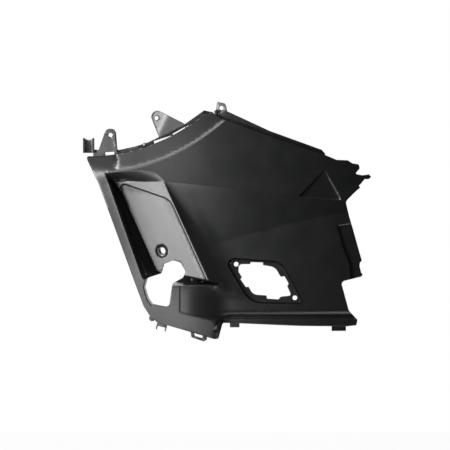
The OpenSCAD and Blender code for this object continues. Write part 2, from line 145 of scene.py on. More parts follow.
def signed(x: np.ndarray, z: np.ndarray, outline: np.ndarray) -> np.ndarray:
    """Returns the distance to an outline, positive inside it."""
    return np.where(inside(x, z, outline), 1, -1) * edge_distance(x, z, outline)


def merged(a: np.ndarray, b: np.ndarray, r: np.ndarray | float) -> np.ndarray:
    """Returns the nearer of two depths, with the valley between them filled over a reach of about r."""
    return np.minimum(a, b) - r * np.log1p(np.exp(-np.clip(np.abs(a - b) / r, 0, 40)))


@dataclass(frozen=True)
class Bend:
    """Upright cylinder, convex to the viewer.

    Attributes:
        middle: Its foremost line along X.
        front: Depth of that line.
        radius: Its radius.
    """

    middle: float
    front: float
    radius: float

    def depth(self, x: np.ndarray, t: float = 0, radius_loss: np.ndarray | float = 0) -> np.ndarray:
        """Depth of its face, moved inward by t, where its radius may also be less by radius_loss."""
        r = self.radius - t - radius_loss
        return self.front + self.radius - np.sqrt(np.maximum(r * r - (x - self.middle) ** 2, 0))


@dataclass(frozen=True)
class Plane:
    """Flat face through a point, with a normal that points out of the moulding towards the viewer."""

    point: tuple[float, float, float]
    normal: tuple[float, float, float]

    def depth(self, x: np.ndarray, z: np.ndarray, t: float = 0) -> np.ndarray:
        """Depth of the face, moved inward by t."""
        n = unit(self.normal)
        px, py, pz = np.array(self.point) - n * t
        return py - (n[0] * (x - px) + n[2] * (z - pz)) / n[1]


@dataclass
class PanelForm:
    """Outer face of the panel as a depth over the front view, with every face moved inward by t.

    The numbers are the driving sizes of the panel.
    """

    crown_y: float = -28.0
    crown_r: float = 650.0
    crown_x: float = 35.0
    lower_drop: float = 19.0
    lower_x: float = 79.0
    band_slope: float = 35.0
    crease_c: tuple[float, float] = (-250.0, 644.0)
    crease_r: float = 575.0
    shoulder_z: float = 92.7
    shoulder_slope: float = 12.0
    shoulder_fall: float = 6.5
    floor_tilt: float = 28.0
    lean: float = 24.3
    seat_sink: float = 1.5
    floor_step: float = 2.5
    channel_depth: float = 24.0
    draft: float = 8.0
    rim_top: tuple[float, float] = (-79.5, 108.0)
    rim_bottom: tuple[float, float] = (-26.6, -37.8)
    pocket_bottom: tuple[float, float] = (15.4, -47.6)
    valley_z: float = 97.3
    valley_x: tuple[float, float] = (-61.0, 3.0)
    crest_bottom_z: float = -46.5
    floor_left: float = -19.5
    floor_corner_r: tuple[float, float] = (7.0, 22.0)
    flank_slope: float = 31.0
    roll_r: float = 90.0
    skirt_top: float = -95.0
    cove_h: float = 10.0
    cove_depth: float = 8.0
    skirt_depth: float = 3.0
    joggle: float = 2.5
    dip_depth: float = 3.0
    dip_start: float = 0.5
    seat_depth: float = 6.0
    seat_tilt: float = 5.8
    wall_steep: float = 12.0
    floor_ease: float = 0.22
    channel_slope: float = 1.5
    band_blend_x: tuple[float, float] = (-104.0, -64.0)
    band_blend: float = 4.0
    flank_blend: tuple[float, float] = (0.3, 4.5)
    roll_blend: float = 4.0
    roll_ease: float = 1.0
    block_edge: float = 1.3
    seat_groove: tuple[float, float, float] = (3.0, 0.65, 0.5)
    ledge_steep: float = 9.0
    groove: tuple[float, float, float] = (2.6, 0.9, 0.65)
    bead: tuple[float, float, float] = (0.6, 1.0, 0.7)
    carve: tuple[float, float, float] = (2.2, 4.5, 90.0)
    crown: Bend = field(init=False)
    lower: Bend = field(init=False)

    def __post_init__(self) -> None:
        """Works out the faces that follow from the sizes."""
        self.crown = Bend(self.crown_x, self.crown_y, self.crown_r)
        self.lower = Bend(self.lower_x, self.crown_y + self.lower_drop, self.crown_r)
        lean = math.radians(self.lean)
        tilt = math.radians(self.floor_tilt)
        self.right = np.array([math.cos(lean), math.sin(lean)])
        self.down = np.array([math.sin(lean), -math.cos(lean)])
        self.floor_out = np.array([-self.right[0] * math.sin(tilt), -math.cos(tilt), -self.right[1] * math.sin(tilt)])
        self.shelf_rise = self.seat_sink + self.floor_step
        self.crest = (-self.crown_y - 0.8 - self.shelf_rise / math.cos(tilt)) / math.tan(tilt)
        self.shelf = Plane(tuple(self.floor_out * self.shelf_rise), tuple(self.floor_out))
        self.floor = Plane(tuple(self.floor_out * self.seat_sink), tuple(self.floor_out))
        self.screw_seat = Plane((0, 0, 0), tuple(self.floor_out))
        turn = math.radians(self.seat_tilt)
        mid = np.mean(LAMP_HOLES, 0)
        seat_y = float(self.lower.depth(np.array(mid[0]))) + self.seat_depth
        self.seat = Plane((mid[0], seat_y, mid[1]), (math.sin(turn), -math.cos(turn), 0))

    def shoulder(self, x: np.ndarray, z: np.ndarray, t: float) -> np.ndarray:
        """The upper bend mirrored in the plane of the crease below it."""
        rise = math.tan(math.radians(self.shoulder_slope / 2))
        fall = math.radians(self.shoulder_fall)
        m = unit((math.sin(fall), -rise, math.cos(fall)))
        pivot = np.array([self.crown_x, self.crown_y + self.crown_r, self.shoulder_z + self.crown_r * rise])
        axis = np.array([0, 0, 1.0])
        axis = axis - 2 * (axis @ m) * m
        along = np.array([0, 1.0, 0])
        dx, dz = x - pivot[0], z - pivot[2]
        flat = along - (along @ axis) * axis
        ox = dx - (dx * axis[0] + dz * axis[2]) * axis[0]
        oy = -(dx * axis[0] + dz * axis[2]) * axis[1]
        oz = dz - (dx * axis[0] + dz * axis[2]) * axis[2]
        a = float(flat @ flat)
        b = flat[0] * ox + flat[1] * oy + flat[2] * oz
        c = ox ** 2 + oy ** 2 + oz ** 2 - (self.crown_r - t) ** 2
        return pivot[1] + (-b - np.sqrt(np.maximum(b * b - a * c, 0))) / a

    def lower_face(self, x: np.ndarray, z: np.ndarray, t: float) -> np.ndarray:
        """Lower bend with its cove and skirt."""
        top = self.skirt_top
        heights = [top - 0.6 * t - 0.4, top - 0.2 * t + 0.4]
        losses = [self.skirt_depth, self.cove_depth]
        for share in np.linspace(0, 1, 15):
            heights.append(top + (0.3 + 1.0 * share) * self.cove_h)
            losses.append(self.cove_depth * (1 - share) ** 1.8)
        return self.lower.depth(x, t, np.interp(z, heights, losses))

    def flank(self, x: np.ndarray, z: np.ndarray, t: float) -> np.ndarray:
        """Wall that falls back to the right of the crest, down to the slope at its foot."""
        slope = math.radians(self.flank_slope)
        foot = self.right * self.crest
        wall = Plane((foot[0], self.crown_y + 0.8, foot[1]),
                     (self.right[0] * math.sin(slope), -math.cos(slope), self.right[1] * math.sin(slope)))
        end = Plane((0, self.crown_y, self.crest_bottom_z), (0, -1, -1.3))
        return np.maximum(wall.depth(x, z, t), end.depth(x, z, t))

    def roll(self, x: np.ndarray, z: np.ndarray, t: float) -> np.ndarray:
        """Roll that turns from under the pocket back to the lower face."""
        middle = BLOCK_LEFT[0] - 10
        crown = self.crown.depth(x, t)
        beyond = Bend(middle, self.crown_y, self.roll_r).depth(x, t) - crown
        round_part = crown + self.roll_ease * np.log1p(np.exp(np.clip(beyond / self.roll_ease, -30, 30)))
        round_part = round_part + np.maximum(beyond - 30 * self.roll_ease, 0)
        out = np.where(x <= middle, self.crown_y - 10 + t, round_part)
        out = np.where(x > middle + self.roll_r - t, FAR, out)
        return out + 0.8 * np.maximum(z - self.crest_bottom_z, 0)

    def block(self, x: np.ndarray, z: np.ndarray, t: float) -> np.ndarray:
        """Block at the lower front, with its sloped right side and its sloped top."""
        fall = (BLOCK_LEFT[1] - BLOCK_RIGHT[1]) / (BLOCK_RIGHT[0] - BLOCK_LEFT[0])
        side = (BLOCK_RIGHT[0] - BLOCK_SIDE[0]) / (BLOCK_RIGHT[1] - BLOCK_SIDE[1])
        right = Plane((BLOCK_RIGHT[0], self.crown_y, BLOCK_RIGHT[1]), (1, -0.3, -side))
        top = Plane((BLOCK_LEFT[0], self.crown_y, BLOCK_LEFT[1]), (fall, -0.25, 1))
        wall = np.maximum(right.depth(x, z, t), top.depth(x, z, t)) - self.crown.depth(x, t)
        r = self.block_edge
        return self.crown.depth(x, t) + r * np.log1p(np.exp(np.clip(wall / r, -30, 30))) + np.maximum(wall - 30 * r, 0)

    def band(self, x: np.ndarray, z: np.ndarray, t: float) -> np.ndarray:
        """Band that falls back from the crease to the top edge."""
        slope = math.radians(self.band_slope)
        reach = np.hypot(x - self.crease_c[0], z - self.crease_c[1])
        return self.crown_y + t / math.cos(slope) + (self.crease_r - reach) * math.tan(slope)

    def brow(self, x: np.ndarray, z: np.ndarray, t: float) -> np.ndarray:
        """Twisted wall between the crease and the shelf, -FAR beside it."""
        lead, land = 0.6, 0.3
        slope = math.tan(math.radians(self.band_slope))

        def top(u: np.ndarray) -> tuple[np.ndarray, np.ndarray, np.ndarray]:
            tx = self.rim_top[0] + land + (-17 - self.rim_top[0] - land) * u
            face = self.crown.depth(tx)
            r = self.crease_r - (face - self.crown_y) / slope
            return tx, face - lead, self.crease_c[1] - np.sqrt(r * r - (tx - self.crease_c[0]) ** 2) - land

        def foot(u: np.ndarray) -> tuple[np.ndarray, np.ndarray, np.ndarray]:
            low = np.clip(1 - u * 6, 0, 1)
            fx = self.valley_x[0] + (self.valley_x[1] - self.valley_x[0]) * np.clip((u * 6 - 1) / 5, 0, 1)
            fx = fx - 3.5 * low
            fz = self.valley_z - 9 * low
            fy = np.maximum(self.shelf.depth(fx, fz), self.crown.depth(fx) + 0.3)
            return fx, fy, fz

        low_u, high_u = np.zeros_like(x), np.ones_like(x)
        for _ in range(22):
            u = (low_u + high_u) / 2
            ax, _, az = top(u)
            bx, _, bz = foot(u)
            beyond = (bx - ax) * (z - az) - (bz - az) * (x - ax) > 0
            low_u, high_u = np.where(beyond, u, low_u), np.where(beyond, high_u, u)
        u = (low_u + high_u) / 2
        ax, ay, az = top(u)
        bx, by, bz = foot(u)
        v = (az - z) / np.maximum(az - bz, 1e-6)
        out = ay + (by - ay) * np.maximum(v, 0) ** (1 + u) + t * 1.35
        keep = (u > 1e-4) & (u < 1 - 1e-4) & (v > -0.2) & (v < 1 + (4 + t) / np.maximum(az - bz, 1e-6))
        return np.where(keep, out, -FAR)

    def channel_top(self, x: np.ndarray, z: np.ndarray) -> np.ndarray:
        """Says which places lie in the narrow top of the channel, between the rim and the brow."""
        return (14.6 * (z - 110.3) + 22.0 * (x + 79.1) < 0) & (z < self.rim_top[1] + 2)

    def room(self, x: np.ndarray, z: np.ndarray, t: float, more: np.ndarray | bool = False) -> np.ndarray:
        """How deep the pocket may reach inside its rim wall and its bottom wall, below the valley and where more is."""
        rim = unit(np.subtract(self.rim_top, self.rim_bottom))
        sill = unit(np.subtract(self.pocket_bottom, self.rim_bottom))
        d = math.sin(math.radians(self.draft))
        at_rim = (self.rim_bottom[0], self.crown_y + 4, self.rim_bottom[1])
        walls = (Plane(at_rim, (-rim[1], d, rim[0])), Plane(at_rim, (sill[1], d, -sill[0])),
                 Plane((0, self.crown_y, self.pocket_bottom[1] + 0.6), (0, 0.03, -1)))
        deep = np.full(x.shape, FAR)
        for wall in walls:
            deep = np.minimum(deep, wall.depth(x, z, t))
        return np.where((z < self.valley_z + 0.3) | more, deep, -FAR)

    def floor_shape(self) -> np.ndarray:
        """Outline of the raised pocket floor."""
        rise = math.tan(math.radians(19))
        left, right = self.floor_left, self.crest - 3.0
        lines = []
        for across, way in ((left, 1), (right, -1)):
            lines.append((self.right * across, self.down * way))
        top_dir = unit((1, -rise))
        top_at = np.array([-4.2, 77.0])

        def meet(p: np.ndarray, d: np.ndarray, q: np.ndarray, e: np.ndarray) -> np.ndarray:
            s = np.linalg.solve(np.array([d, -e]).T, q - p)
            return p + d * s[0]

        a = meet(lines[0][0], lines[0][1], top_at, top_dir)
        b = meet(lines[1][0], lines[1][1], top_at, top_dir)
        return rounded([[*a, self.floor_corner_r[0]], [*b, self.floor_corner_r[1]], [*(self.right * right + self.down * 130), 0],
                        [*(self.right * left + self.down * 130), 0]], 8)

    def pocket(self, x: np.ndarray, z: np.ndarray, t: float) -> list[np.ndarray]:
        """Depths of the pocket's faces, where the deepest one counts.

        Returns:
            The shelf, the floor, the screw seat, the channel and the brow.
        """
        room = self.room(x, z, t)
        across = self.right[0] * x + self.right[1] * z
        lift = self.floor_ease * 6 * np.log1p(np.exp(np.clip((8 - across) / 6, -20, 20)))
        shelf = np.minimum(room, self.shelf.depth(x, z, t) - lift)
        edge = signed(x, z, self.floor_shape()) + t
        step = self.shelf.depth(x, z, t) - lift + 3.0 * edge
        high, middle, spread = self.groove
        groove = high * np.exp(-((edge - middle) / spread) ** 2) * np.clip((across - self.floor_left + (z - 62) / 3) / 3, 0, 1)
        floor = np.minimum(room, np.minimum(self.floor.depth(x, z, t) - lift, step) + groove)
        seat_y = self.screw_seat.depth(x, z, t)
        ring = SCREW_SEAT_R - np.sqrt(x * x + z * z + self.screw_seat.depth(x, z) ** 2) + t
        seat = np.minimum(seat_y, self.floor.depth(x, z, t) + 3.0 * ring)
        side = Plane((self.right[0] * self.floor_left, 10, self.right[1] * self.floor_left),
                     (-self.right[0], -0.05, -self.right[1]))
        slope = math.radians(12.4)
        end = Plane((-14, 0, -26), (-math.sin(slope), -0.05, -math.cos(slope)))
        bank = np.maximum(side.depth(x, z, t), end.depth(x, z, t))
        below = math.sin(slope) * (x + 14) + math.cos(slope) * (z + 26)
        bottom = self.channel_depth + t + self.channel_slope * np.minimum(across - self.floor_left, below)
        corner = -0.8 * (x - self.valley_x[0] + 2) - 0.6 * (z - self.valley_z + 9) + t
        channel = np.minimum(np.minimum(self.room(x, z, t, self.channel_top(x, z)), np.minimum(bottom, bank)),
                             np.where(z > 20, 8 + 20 * corner, FAR))
        under = np.maximum(self.shelf.depth(x, z, t) - lift, self.crown.depth(x, t) + 0.3)
        brow = np.where(z < self.valley_z, np.minimum(self.brow(x, z, t), under), self.brow(x, z, t))
        return [shelf, floor, seat, channel, brow]

    def dip(self, x: np.ndarray, z: np.ndarray, t: float) -> np.ndarray:
        """Three-cornered dip at the rear end of the shoulder crease."""
        (ax, az), (bx, bz), (cx, cz) = DIP
        a = np.array([ax, float(self.crown.depth(np.array(ax))) + self.dip_start, az])
        b = np.array([bx, float(self.crown.depth(np.array(bx))) + self.dip_depth + self.dip_start, bz])
        c = np.array([cx, float(self.crown.depth(np.array(cx))) + self.dip_depth + self.dip_start, cz])
        n = np.cross(b - a, c - a)
        n = n if n[1] < 0 else -n
        edge = signed(x, z, np.array(DIP)) + t
        return np.where(edge > 0, Plane(tuple(a), tuple(n)).depth(x, z, t), -FAR)

    def seated(self, x: np.ndarray, z: np.ndarray, y: np.ndarray) -> np.ndarray:
        """Sinks the lamp seat into a face of depth y, with the groove inside its edge."""
        edge = signed(x, z, rounded(SEAT))
        high, middle, spread = self.seat_groove
        seat = self.seat.depth(x, z) + high * np.exp(-((edge - middle) / spread) ** 2)
        return np.where(edge > 0, np.maximum(y, seat), y)

    def depth(self, x: np.ndarray, z: np.ndarray, t: float = 0.0) -> tuple[np.ndarray, np.ndarray]:
        """Depth of the outer face, or of the inner one for t equal to the wall.

        The outer face leaves out the lamp seat, which keeps a sharper edge than the rest.

        Args:
            x: Places along X.
            z: Heights.
            t: How far every face is moved inward.

        Returns:
            The depth, and a number for the face that shows at each place.
        """
        union = np.stack([self.shoulder(x, z, t), self.lower_face(x, z, t), self.flank(x, z, t),
                          self.block(x, z, t), self.roll(x, z, t)])
        label = np.argmin(union, 0) + 1
        crown = self.crown.depth(x, t)
        flank, roll = union[2], union[4]
        y = np.minimum(merged(np.minimum(union[0], union[1]), roll, self.roll_blend), union[3])
        y = merged(y, flank, np.clip(self.flank_blend[0] * (flank - crown), 0.05, self.flank_blend[1]))
        high, near, far = self.carve
        beside = np.maximum(self.right[0] * x + self.right[1] * z - self.crest, 0)
        below = np.clip(self.valley_z + 1 - 0.05 * beside - z, 0, 60)
        fade = (1 - np.exp(-below / 6)) * np.clip((z - 10) / 50, 0, 1)
        y = y + high * (1 - np.exp(-beside / near)) * np.exp(-beside / far) * fade
        y, label = np.maximum(y, crown), np.where(crown >= y, 0, label)
        recess_front = y
        cuts = self.pocket(x, z, t)
        band = self.band(x, z, t)
        start, end = self.band_blend_x
        r = self.band_blend * np.clip((end - x) / (end - start), 0, 1) + 0.05
        gap = np.clip((band - crown) / r, -30, 30)
        cuts.append(np.where(band > crown - 4 * r, crown + r * np.log1p(np.exp(gap)), band))
        if t > 0:
            seat_edge = signed(x, z, rounded(SEAT)) + t
            cuts.append(np.minimum(self.seat.depth(x, z, t), recess_front + self.wall_steep * seat_edge))
        rear = signed(x, z, np.array(REAR_STRIP)) + t
        cuts.append(np.minimum(self.lower.depth(x, t + self.joggle), recess_front + 3.0 * rear))
        cuts.append(self.dip(x, z, t))
        cuts.append(np.minimum(crown + self.ledge_steep * (signed(x, z, np.array(LEDGE)) + t), crown + 16))
        for number, cut in enumerate(cuts):
            label = np.where(cut > y, 6 + number, label)
            y = np.maximum(y, cut)
        high, middle, spread = self.bead
        beside = (crown - self.room(x, z, t, self.channel_top(x, z))) * math.tan(math.radians(self.draft))
        beside = np.where(self.right[0] * x + self.right[1] * z < self.floor_left, beside, FAR)
        y = y - np.where(label == 0, high * np.exp(-np.clip((beside - middle) / spread, -6, 6) ** 2), 0)
        return y, label


# Corners are (x, z, radius) in the front view
LAMP_HOLES = ((103.9, -18.5), (186.2, -65.8))
LAMP_HOLE_R = 3.25
SCREW_SEAT_R = 8.5
BLOCK_LEFT = (35.0, -87.5)
BLOCK_RIGHT = (77.0, -98.0)
BLOCK_SIDE = (73.5, -122.0)
SEAT = ((84.7, -8.4, 9), (168, -14.7, 22), (199.5, -74.2, 2.5), (123.2, -73.5, 30))
REAR_STRIP = ((246, 36), (275, 40), (300, 20), (300, -45), (265.9, -45), (265.4, -35.6), (264.2, -19.9), (253.4, 9.1))
LEDGE = ((-17, -33), (-21.3, -36.6), (-25, -50.8), (-20.2, -67.1), (-13.8, -76), (-4, -70), (-8, -36))
DIP = ((228, 113.4), (193, 77), (250.6, 72.1))
LAMP_OPENING = (
    (107.2, -18.6, 6.5), (123.1, -18.5, 0.6), (124.5, -15.7, 0.8), (141.4, -16.3, 0.8), (141.4, -19.9, 0),
    (158.5, -22.8, 16), (165.2, -34.9, 0), (167, -36.4, 0.6), (171.6, -35.5, 1), (177.6, -46.3, 1),
    (175.2, -48.6, 0), (181, -62.5, 2.2), (166.1, -64.2, 0), (163.3, -67.9, 1), (147.2, -66.9, 1),
    (146.3, -62.4, 0), (127.5, -61, 20), (121.2, -49.9, 0), (117.6, -50.8, 1), (109.9, -39.5, 0.8),
    (112.1, -36.8, 0.5), (107.3, -29.4, 0))
CUT_OUT = ((3.1, -18.2, 3), (15.4, -13, 7), (25.9, -16.1, 5), (33.6, -29.4, 6), (28.7, -37.8, 4), (14.8, -45.2, 3),
           (10.2, -78.1, 5), (-12.6, -73.9, 3), (-18.2, -65.8, 4), (-23, -50.4, 8), (-19.6, -37.5, 2), (-0.7, -31.5, 4))
REAR_EDGE = (
    (71.4, 193.2, 2), (84, 185.5, 2), (151, 161, 0), (228, 135, 0), (245, 128, 4), (261, 127.4, 3),
    (267.4, 123.2, 3), (276.5, 121.8, 3), (278, 116, 3), (271.3, 108.4, 1.5), (281.4, 106.4, 2),
    (290.9, 107.8, 0.8), (294.27, 104.2, 0.8), (290.9, 101.1, 0.8), (284.6, 100.8, 2), (279, 93.8, 0),
    (276.6, 92, 0), (278.6, 89.2, 0.8), (270.2, 81.9, 0), (257.9, 69.3, 6), (263.2, 47.6, 0), (268.8, 29.4, 0),
    (281, -13.7, 0.6), (278.2, -17, 0.6), (277.9, -22, 0), (280.3, -31.5, 0), (282.5, -32.6, 0.5),
    (280.4, -36.4, 1.5), (251.3, -43.4, 5), (262.5, -84, 10), (274.8, -97, 1), (273.4, -105, 2))
BOTTOM_EDGE = ((259, -106.4, 0), (193, -105.4, 0), (109, -101.5, 0), (85, -100.8, 3), (79, -123, 1.5),
               (73.5, -123.2, 0), (39, -112.7, 0), (-7, -99.4, 3), (-16.8, -90.3, 0), (-25.2, -77.7, 10))
FRONT_EDGE = ((-39.2, -40.6, 30), (-88.5, 94, 30), (-104.8, 127, 0))
TOP_CENTRE = (-101.4, 383.0)
TOP_RADIUS = 250.0


def top_height(x: float, radius: float = TOP_RADIUS) -> float:
    """Height of the curved top edge at x."""
    return TOP_CENTRE[1] - math.sqrt(radius ** 2 - (x - TOP_CENTRE[0]) ** 2)


def panel_outline() -> np.ndarray:
    """Returns the outline of the skin in the front view."""
    start, end, count = -106.0, 60.0, 24
    top = []
    for i in range(count + 1):
        x = start + (end - start) * i / count
        top.append((x, top_height(x), 4.0 if i == 0 else 0.0))
    return rounded([*top, *REAR_EDGE, *BOTTOM_EDGE, *FRONT_EDGE])


def softened(grid: np.ndarray, sigma: float) -> np.ndarray:
    """Blurs a grid by a Gaussian of sigma cells, first along one side and then along the other."""
    reach = int(math.ceil(3 * sigma))
    weights = np.exp(-0.5 * (np.arange(-reach, reach + 1) / sigma) ** 2)
    weights /= weights.sum()
    for axis in (0, 1):
        pad = [(reach, reach) if a == axis else (0, 0) for a in (0, 1)]
        wide = np.pad(grid, pad, mode="edge")
        size = grid.shape[axis]
        grid = sum(w * np.take(wide, range(k, k + size), axis) for k, w in enumerate(weights))
    return grid


class DepthMap:
    """Depths of one face of the panel on a fine grid, with the radius of its moulded edges."""

    step = 0.4
    corner = (-120.0, -134.0)
    far_corner = (304.0, 204.0)

    def __init__(self, form: PanelForm, t: float, soften: float) -> None:
        """Fills the grid.

        Args:
            form: The panel's faces.
            t: How far the faces are moved inward.
            soften: Spread of the rounding of every edge.
        """
        xs = np.arange(self.corner[0], self.far_corner[0], self.step)
        zs = np.arange(self.corner[1], self.far_corner[1], self.step)
        x, z = np.meshgrid(xs, zs)
        y, self.labels = form.depth(x, z, t)
        self.depths = softened(y, soften / self.step)

    def at(self, x: np.ndarray, z: np.ndarray) -> np.ndarray:
        """Returns the depths at places between the grid's points."""
        rows, cols = self.depths.shape
        u = np.clip((x - self.corner[0]) / self.step, 0, cols - 1.001)
        v = np.clip((z - self.corner[1]) / self.step, 0, rows - 1.001)
        i, j = u.astype(int), v.astype(int)
        u, v = u - i, v - j
        d = self.depths
        return ((d[j, i] * (1 - u) + d[j, i + 1] * u) * (1 - v)
                + (d[j + 1, i] * (1 - u) + d[j + 1, i + 1] * u) * v)

    def seams(self) -> list[np.ndarray]:
        """Returns the lines where one face meets another, smoothed, as rows of (x, z)."""
        lab = self.labels
        links: dict[tuple[int, int], list[tuple[int, int]]] = {}

        def link(a: tuple[int, int], b: tuple[int, int]) -> None:
            links.setdefault(a, []).append(b)
            links.setdefault(b, []).append(a)

        for r, c in zip(*np.nonzero(lab[:, 1:] != lab[:, :-1])):
            link((int(r), int(c) + 1), (int(r) + 1, int(c) + 1))
        for r, c in zip(*np.nonzero(lab[1:] != lab[:-1])):
            link((int(r) + 1, int(c)), (int(r) + 1, int(c) + 1))
        chains: list[list[tuple[int, int]]] = []
        starts = [p for p in sorted(links) if len(links[p]) != 2]
        for p in starts + sorted(links):
            while links[p]:
                chain = [p]
                here = p
                while links[here]:
                    ahead = links[here].pop()
                    links[ahead].remove(here)
                    chain.append(ahead)
                    here = ahead
                    if len(links[here]) != 1:
                        break
                chains.append(chain)
        lines = []
        for chain in chains:
            if len(chain) < 8:
                continue
            line = np.array(chain, float)
            for _ in range(12):
                line[1:-1] = 0.25 * line[:-2] + 0.5 * line[1:-1] + 0.25 * line[2:]
            lines.append(np.stack([self.corner[0] + (line[:, 1] - 0.5) * self.step,
                                   self.corner[1] + (line[:, 0] - 0.5) * self.step], 1))
        return lines


def walked(line: np.ndarray, pitch: float) -> tuple[np.ndarray, np.ndarray]:
    """Spaces points evenly along a line.

    Args:
        line: Rows of (x, z).
        pitch: Distance between points.

    Returns:
        The points and the direction square to the line at each.
    """
    gaps = np.linalg.norm(np.diff(line, axis=0), axis=1)
    run = np.concatenate([[0], np.cumsum(gaps)])
    count = max(2, int(run[-1] / pitch) + 1)
    at = np.linspace(0, run[-1], count)
    points = np.stack([np.interp(at, run, line[:, 0]), np.interp(at, run, line[:, 1])], 1)
    way = np.gradient(points, axis=0)
    way /= np.maximum(np.linalg.norm(way, axis=1, keepdims=True), 1e-9)
    return points, np.stack([-way[:, 1], way[:, 0]], 1)


@dataclass
class Sheet:
    """Closed solid between two depths over one outline, with rounded front edges.

    Attributes:
        name: The piece's name.
        outline: Its outline in the front view.
        holes: Outlines of its openings.
        front: Depth of its front.
        back: Depth of its back.
        edge_r: Radius of its front edges, at each place.
        pitch: Spacing of the mesh away from every line.
        rows: Points along the lines where its faces meet.
        lines: Points along its sharpest lines, kept closer together than rows.
        edge_step: Longest edge along the outlines.
        skirts: Distances from the outlines that get points of their own, as for a wall along the edge.
    """

    name: str
    outline: np.ndarray
    holes: list[np.ndarray]
    front: Depth
    back: Depth
    edge_r: Depth
    pitch: float = 5.0
    rows: np.ndarray = field(default_factory=lambda: np.zeros((0, 2)))
    lines: np.ndarray = field(default_factory=lambda: np.zeros((0, 2)))
    edge_step: float = 1.6
    skirts: tuple[float, ...] = ()

    def places(self) -> tuple[list[Vector], list[tuple[int, int]]]:
        """Returns every place of the front view that the mesh uses, and the edges it has to keep."""
        kept: list[np.ndarray] = []
        edges: list[tuple[int, int]] = []
        taken: set[tuple[int, int]] = set()
        rings = [resampled(ring, self.edge_step) for ring in (self.outline, *self.holes)]

        def claim(point: np.ndarray, grain: float) -> bool:
            key = (int(round(point[0] / grain)), int(round(point[1] / grain)))
            if key in taken:
                return False
            taken.add(key)
            return True

        for ring in rings:
            base = len(kept)
            kept.extend(ring)
            edges.extend((base + i, base + (i + 1) % len(ring)) for i in range(len(ring)))
        for ring in rings:
            looped = np.concatenate([ring, ring[:1]])
            points, normals = walked(looped, self.edge_step)
            radius = self.edge_r(points[:, 0], points[:, 1])
            offsets = [radius * share for share in (0.13, 0.45, 1.0)]
            offsets += [np.full(len(points), gap) for gap in self.skirts]
            for offset in offsets:
                for sign in (-1, 1):
                    moved = points + normals * (sign * offset)[:, None]
                    free = self.clearance(moved) >= offset * 0.93
                    kept.extend(p for p, ok in zip(moved, free) if ok and claim(p, 0.06))
        sharp = KDTree(len(self.lines))
        for points, grain in ((self.lines, 0.05), (self.rows, 0.42)):
            if not len(points):
                continue
            free = self.clearance(points) > 0.35
            for p, ok in zip(points, free):
                if grain > 0.05 and len(self.lines) and sharp.find((p[0], p[1], 0))[2] < 0.5:
                    continue
                if ok and claim(p, grain):
                    kept.append(p)
            if points is self.lines:
                for i, p in enumerate(points):
                    sharp.insert((p[0], p[1], 0), i)
                sharp.balance()
        tree = KDTree(len(kept))
        for i, p in enumerate(kept):
            tree.insert((p[0], p[1], 0), i)
        tree.balance()
        low, high = self.outline.min(0), self.outline.max(0)
        xs = np.arange(low[0], high[0], self.pitch)
        zs = np.arange(low[1], high[1], self.pitch * 0.87)
        x, z = np.meshgrid(xs, zs)
        x = x + (np.arange(len(zs)) % 2)[:, None] * self.pitch / 2
        fill = np.stack([x.ravel(), z.ravel()], 1)
        fill = fill[self.clearance(fill) > self.pitch * 0.3]
        kept.extend(p for p in fill if tree.find((p[0], p[1], 0))[2] > self.pitch * 0.42)
        return [Vector((float(p[0]), float(p[1]))) for p in kept], edges

    def clearance(self, points: np.ndarray) -> np.ndarray:
        """Returns the distance from each point to the nearest outline, negative outside the sheet."""
        x, z = points[:, 0], points[:, 1]
        gap = edge_distance(x, z, self.outline)
        solid = inside(x, z, self.outline)
        for hole in self.holes:
            gap = np.minimum(gap, edge_distance(x, z, hole))
            solid &= ~inside(x, z, hole)
        return np.where(solid, gap, -gap)

    def build(self) -> bpy.types.Object:
        """Makes the mesh.

        Returns:
            The piece.
        """
        points, edges = self.places()
        flat, _, tris, *_ = delaunay_2d_cdt(points, edges, [], 0, 1e-6, False)
        at = np.array([tuple(p) for p in flat])
        tri = np.array([t for t in tris if len(t) == 3])
        mid = at[tri].mean(1)
        keep = inside(mid[:, 0], mid[:, 1], self.outline)
        for hole in self.holes:
            keep &= ~inside(mid[:, 0], mid[:, 1], hole)
        tri = tri[keep]
        used, where = np.unique(tri, return_inverse=True)
        tri = where.reshape(-1, 3)
        at = at[used]
        x, z = at[:, 0], at[:, 1]
        area = ((x[tri[:, 1]] - x[tri[:, 0]]) * (z[tri[:, 2]] - z[tri[:, 0]])
                - (x[tri[:, 2]] - x[tri[:, 0]]) * (z[tri[:, 1]] - z[tri[:, 0]]))
        tri[area < 0] = tri[area < 0][:, ::-1]
        gap = np.maximum(self.clearance(at), 0)
        r = self.edge_r(x, z)
        near = np.clip(r - gap, 0, r)
        front = self.front(x, z) + r - np.sqrt(np.maximum(r * r - near * near, 0))
        back = np.maximum(self.back(x, z), front + 0.3)
        verts = np.concatenate([np.stack([x, front, z], 1), np.stack([x, back, z], 1)]) * MM
        count = len(x)
        faces = [tuple(t) for t in tri.tolist()]
        faces += [(c + count, b + count, a + count) for a, b, c in tri.tolist()]
        seen: dict[tuple[int, int], int] = {}
        for a, b, c in tri.tolist():
            for p, q in ((a, b), (b, c), (c, a)):
                seen[(p, q)] = seen.get((p, q), 0) + 1
        faces += [(q, p, p + count, q + count) for p, q in seen if (q, p) not in seen]
        return finished_mesh(self.name, verts.tolist(), faces)


def mark_edges(mesh: bpy.types.Mesh) -> None:
    """Writes how strongly each corner of a mesh stands out, for the wear and the painted highlight along its edges."""
    work = bmesh.new()
    work.from_mesh(mesh)
    bmesh.ops.recalc_face_normals(work, faces=work.faces)
    marks = []
    for vert in work.verts:
        bends = [edge.calc_face_angle_signed(0.0) for edge in vert.link_edges]
        marks.append(min(1.0, max(0.0, max(bends, default=0.0)) / 0.4))
    work.to_mesh(mesh)
    work.free()
    mesh.attributes.new(EDGE_MARK, "FLOAT", "POINT").data.foreach_set("value", marks)


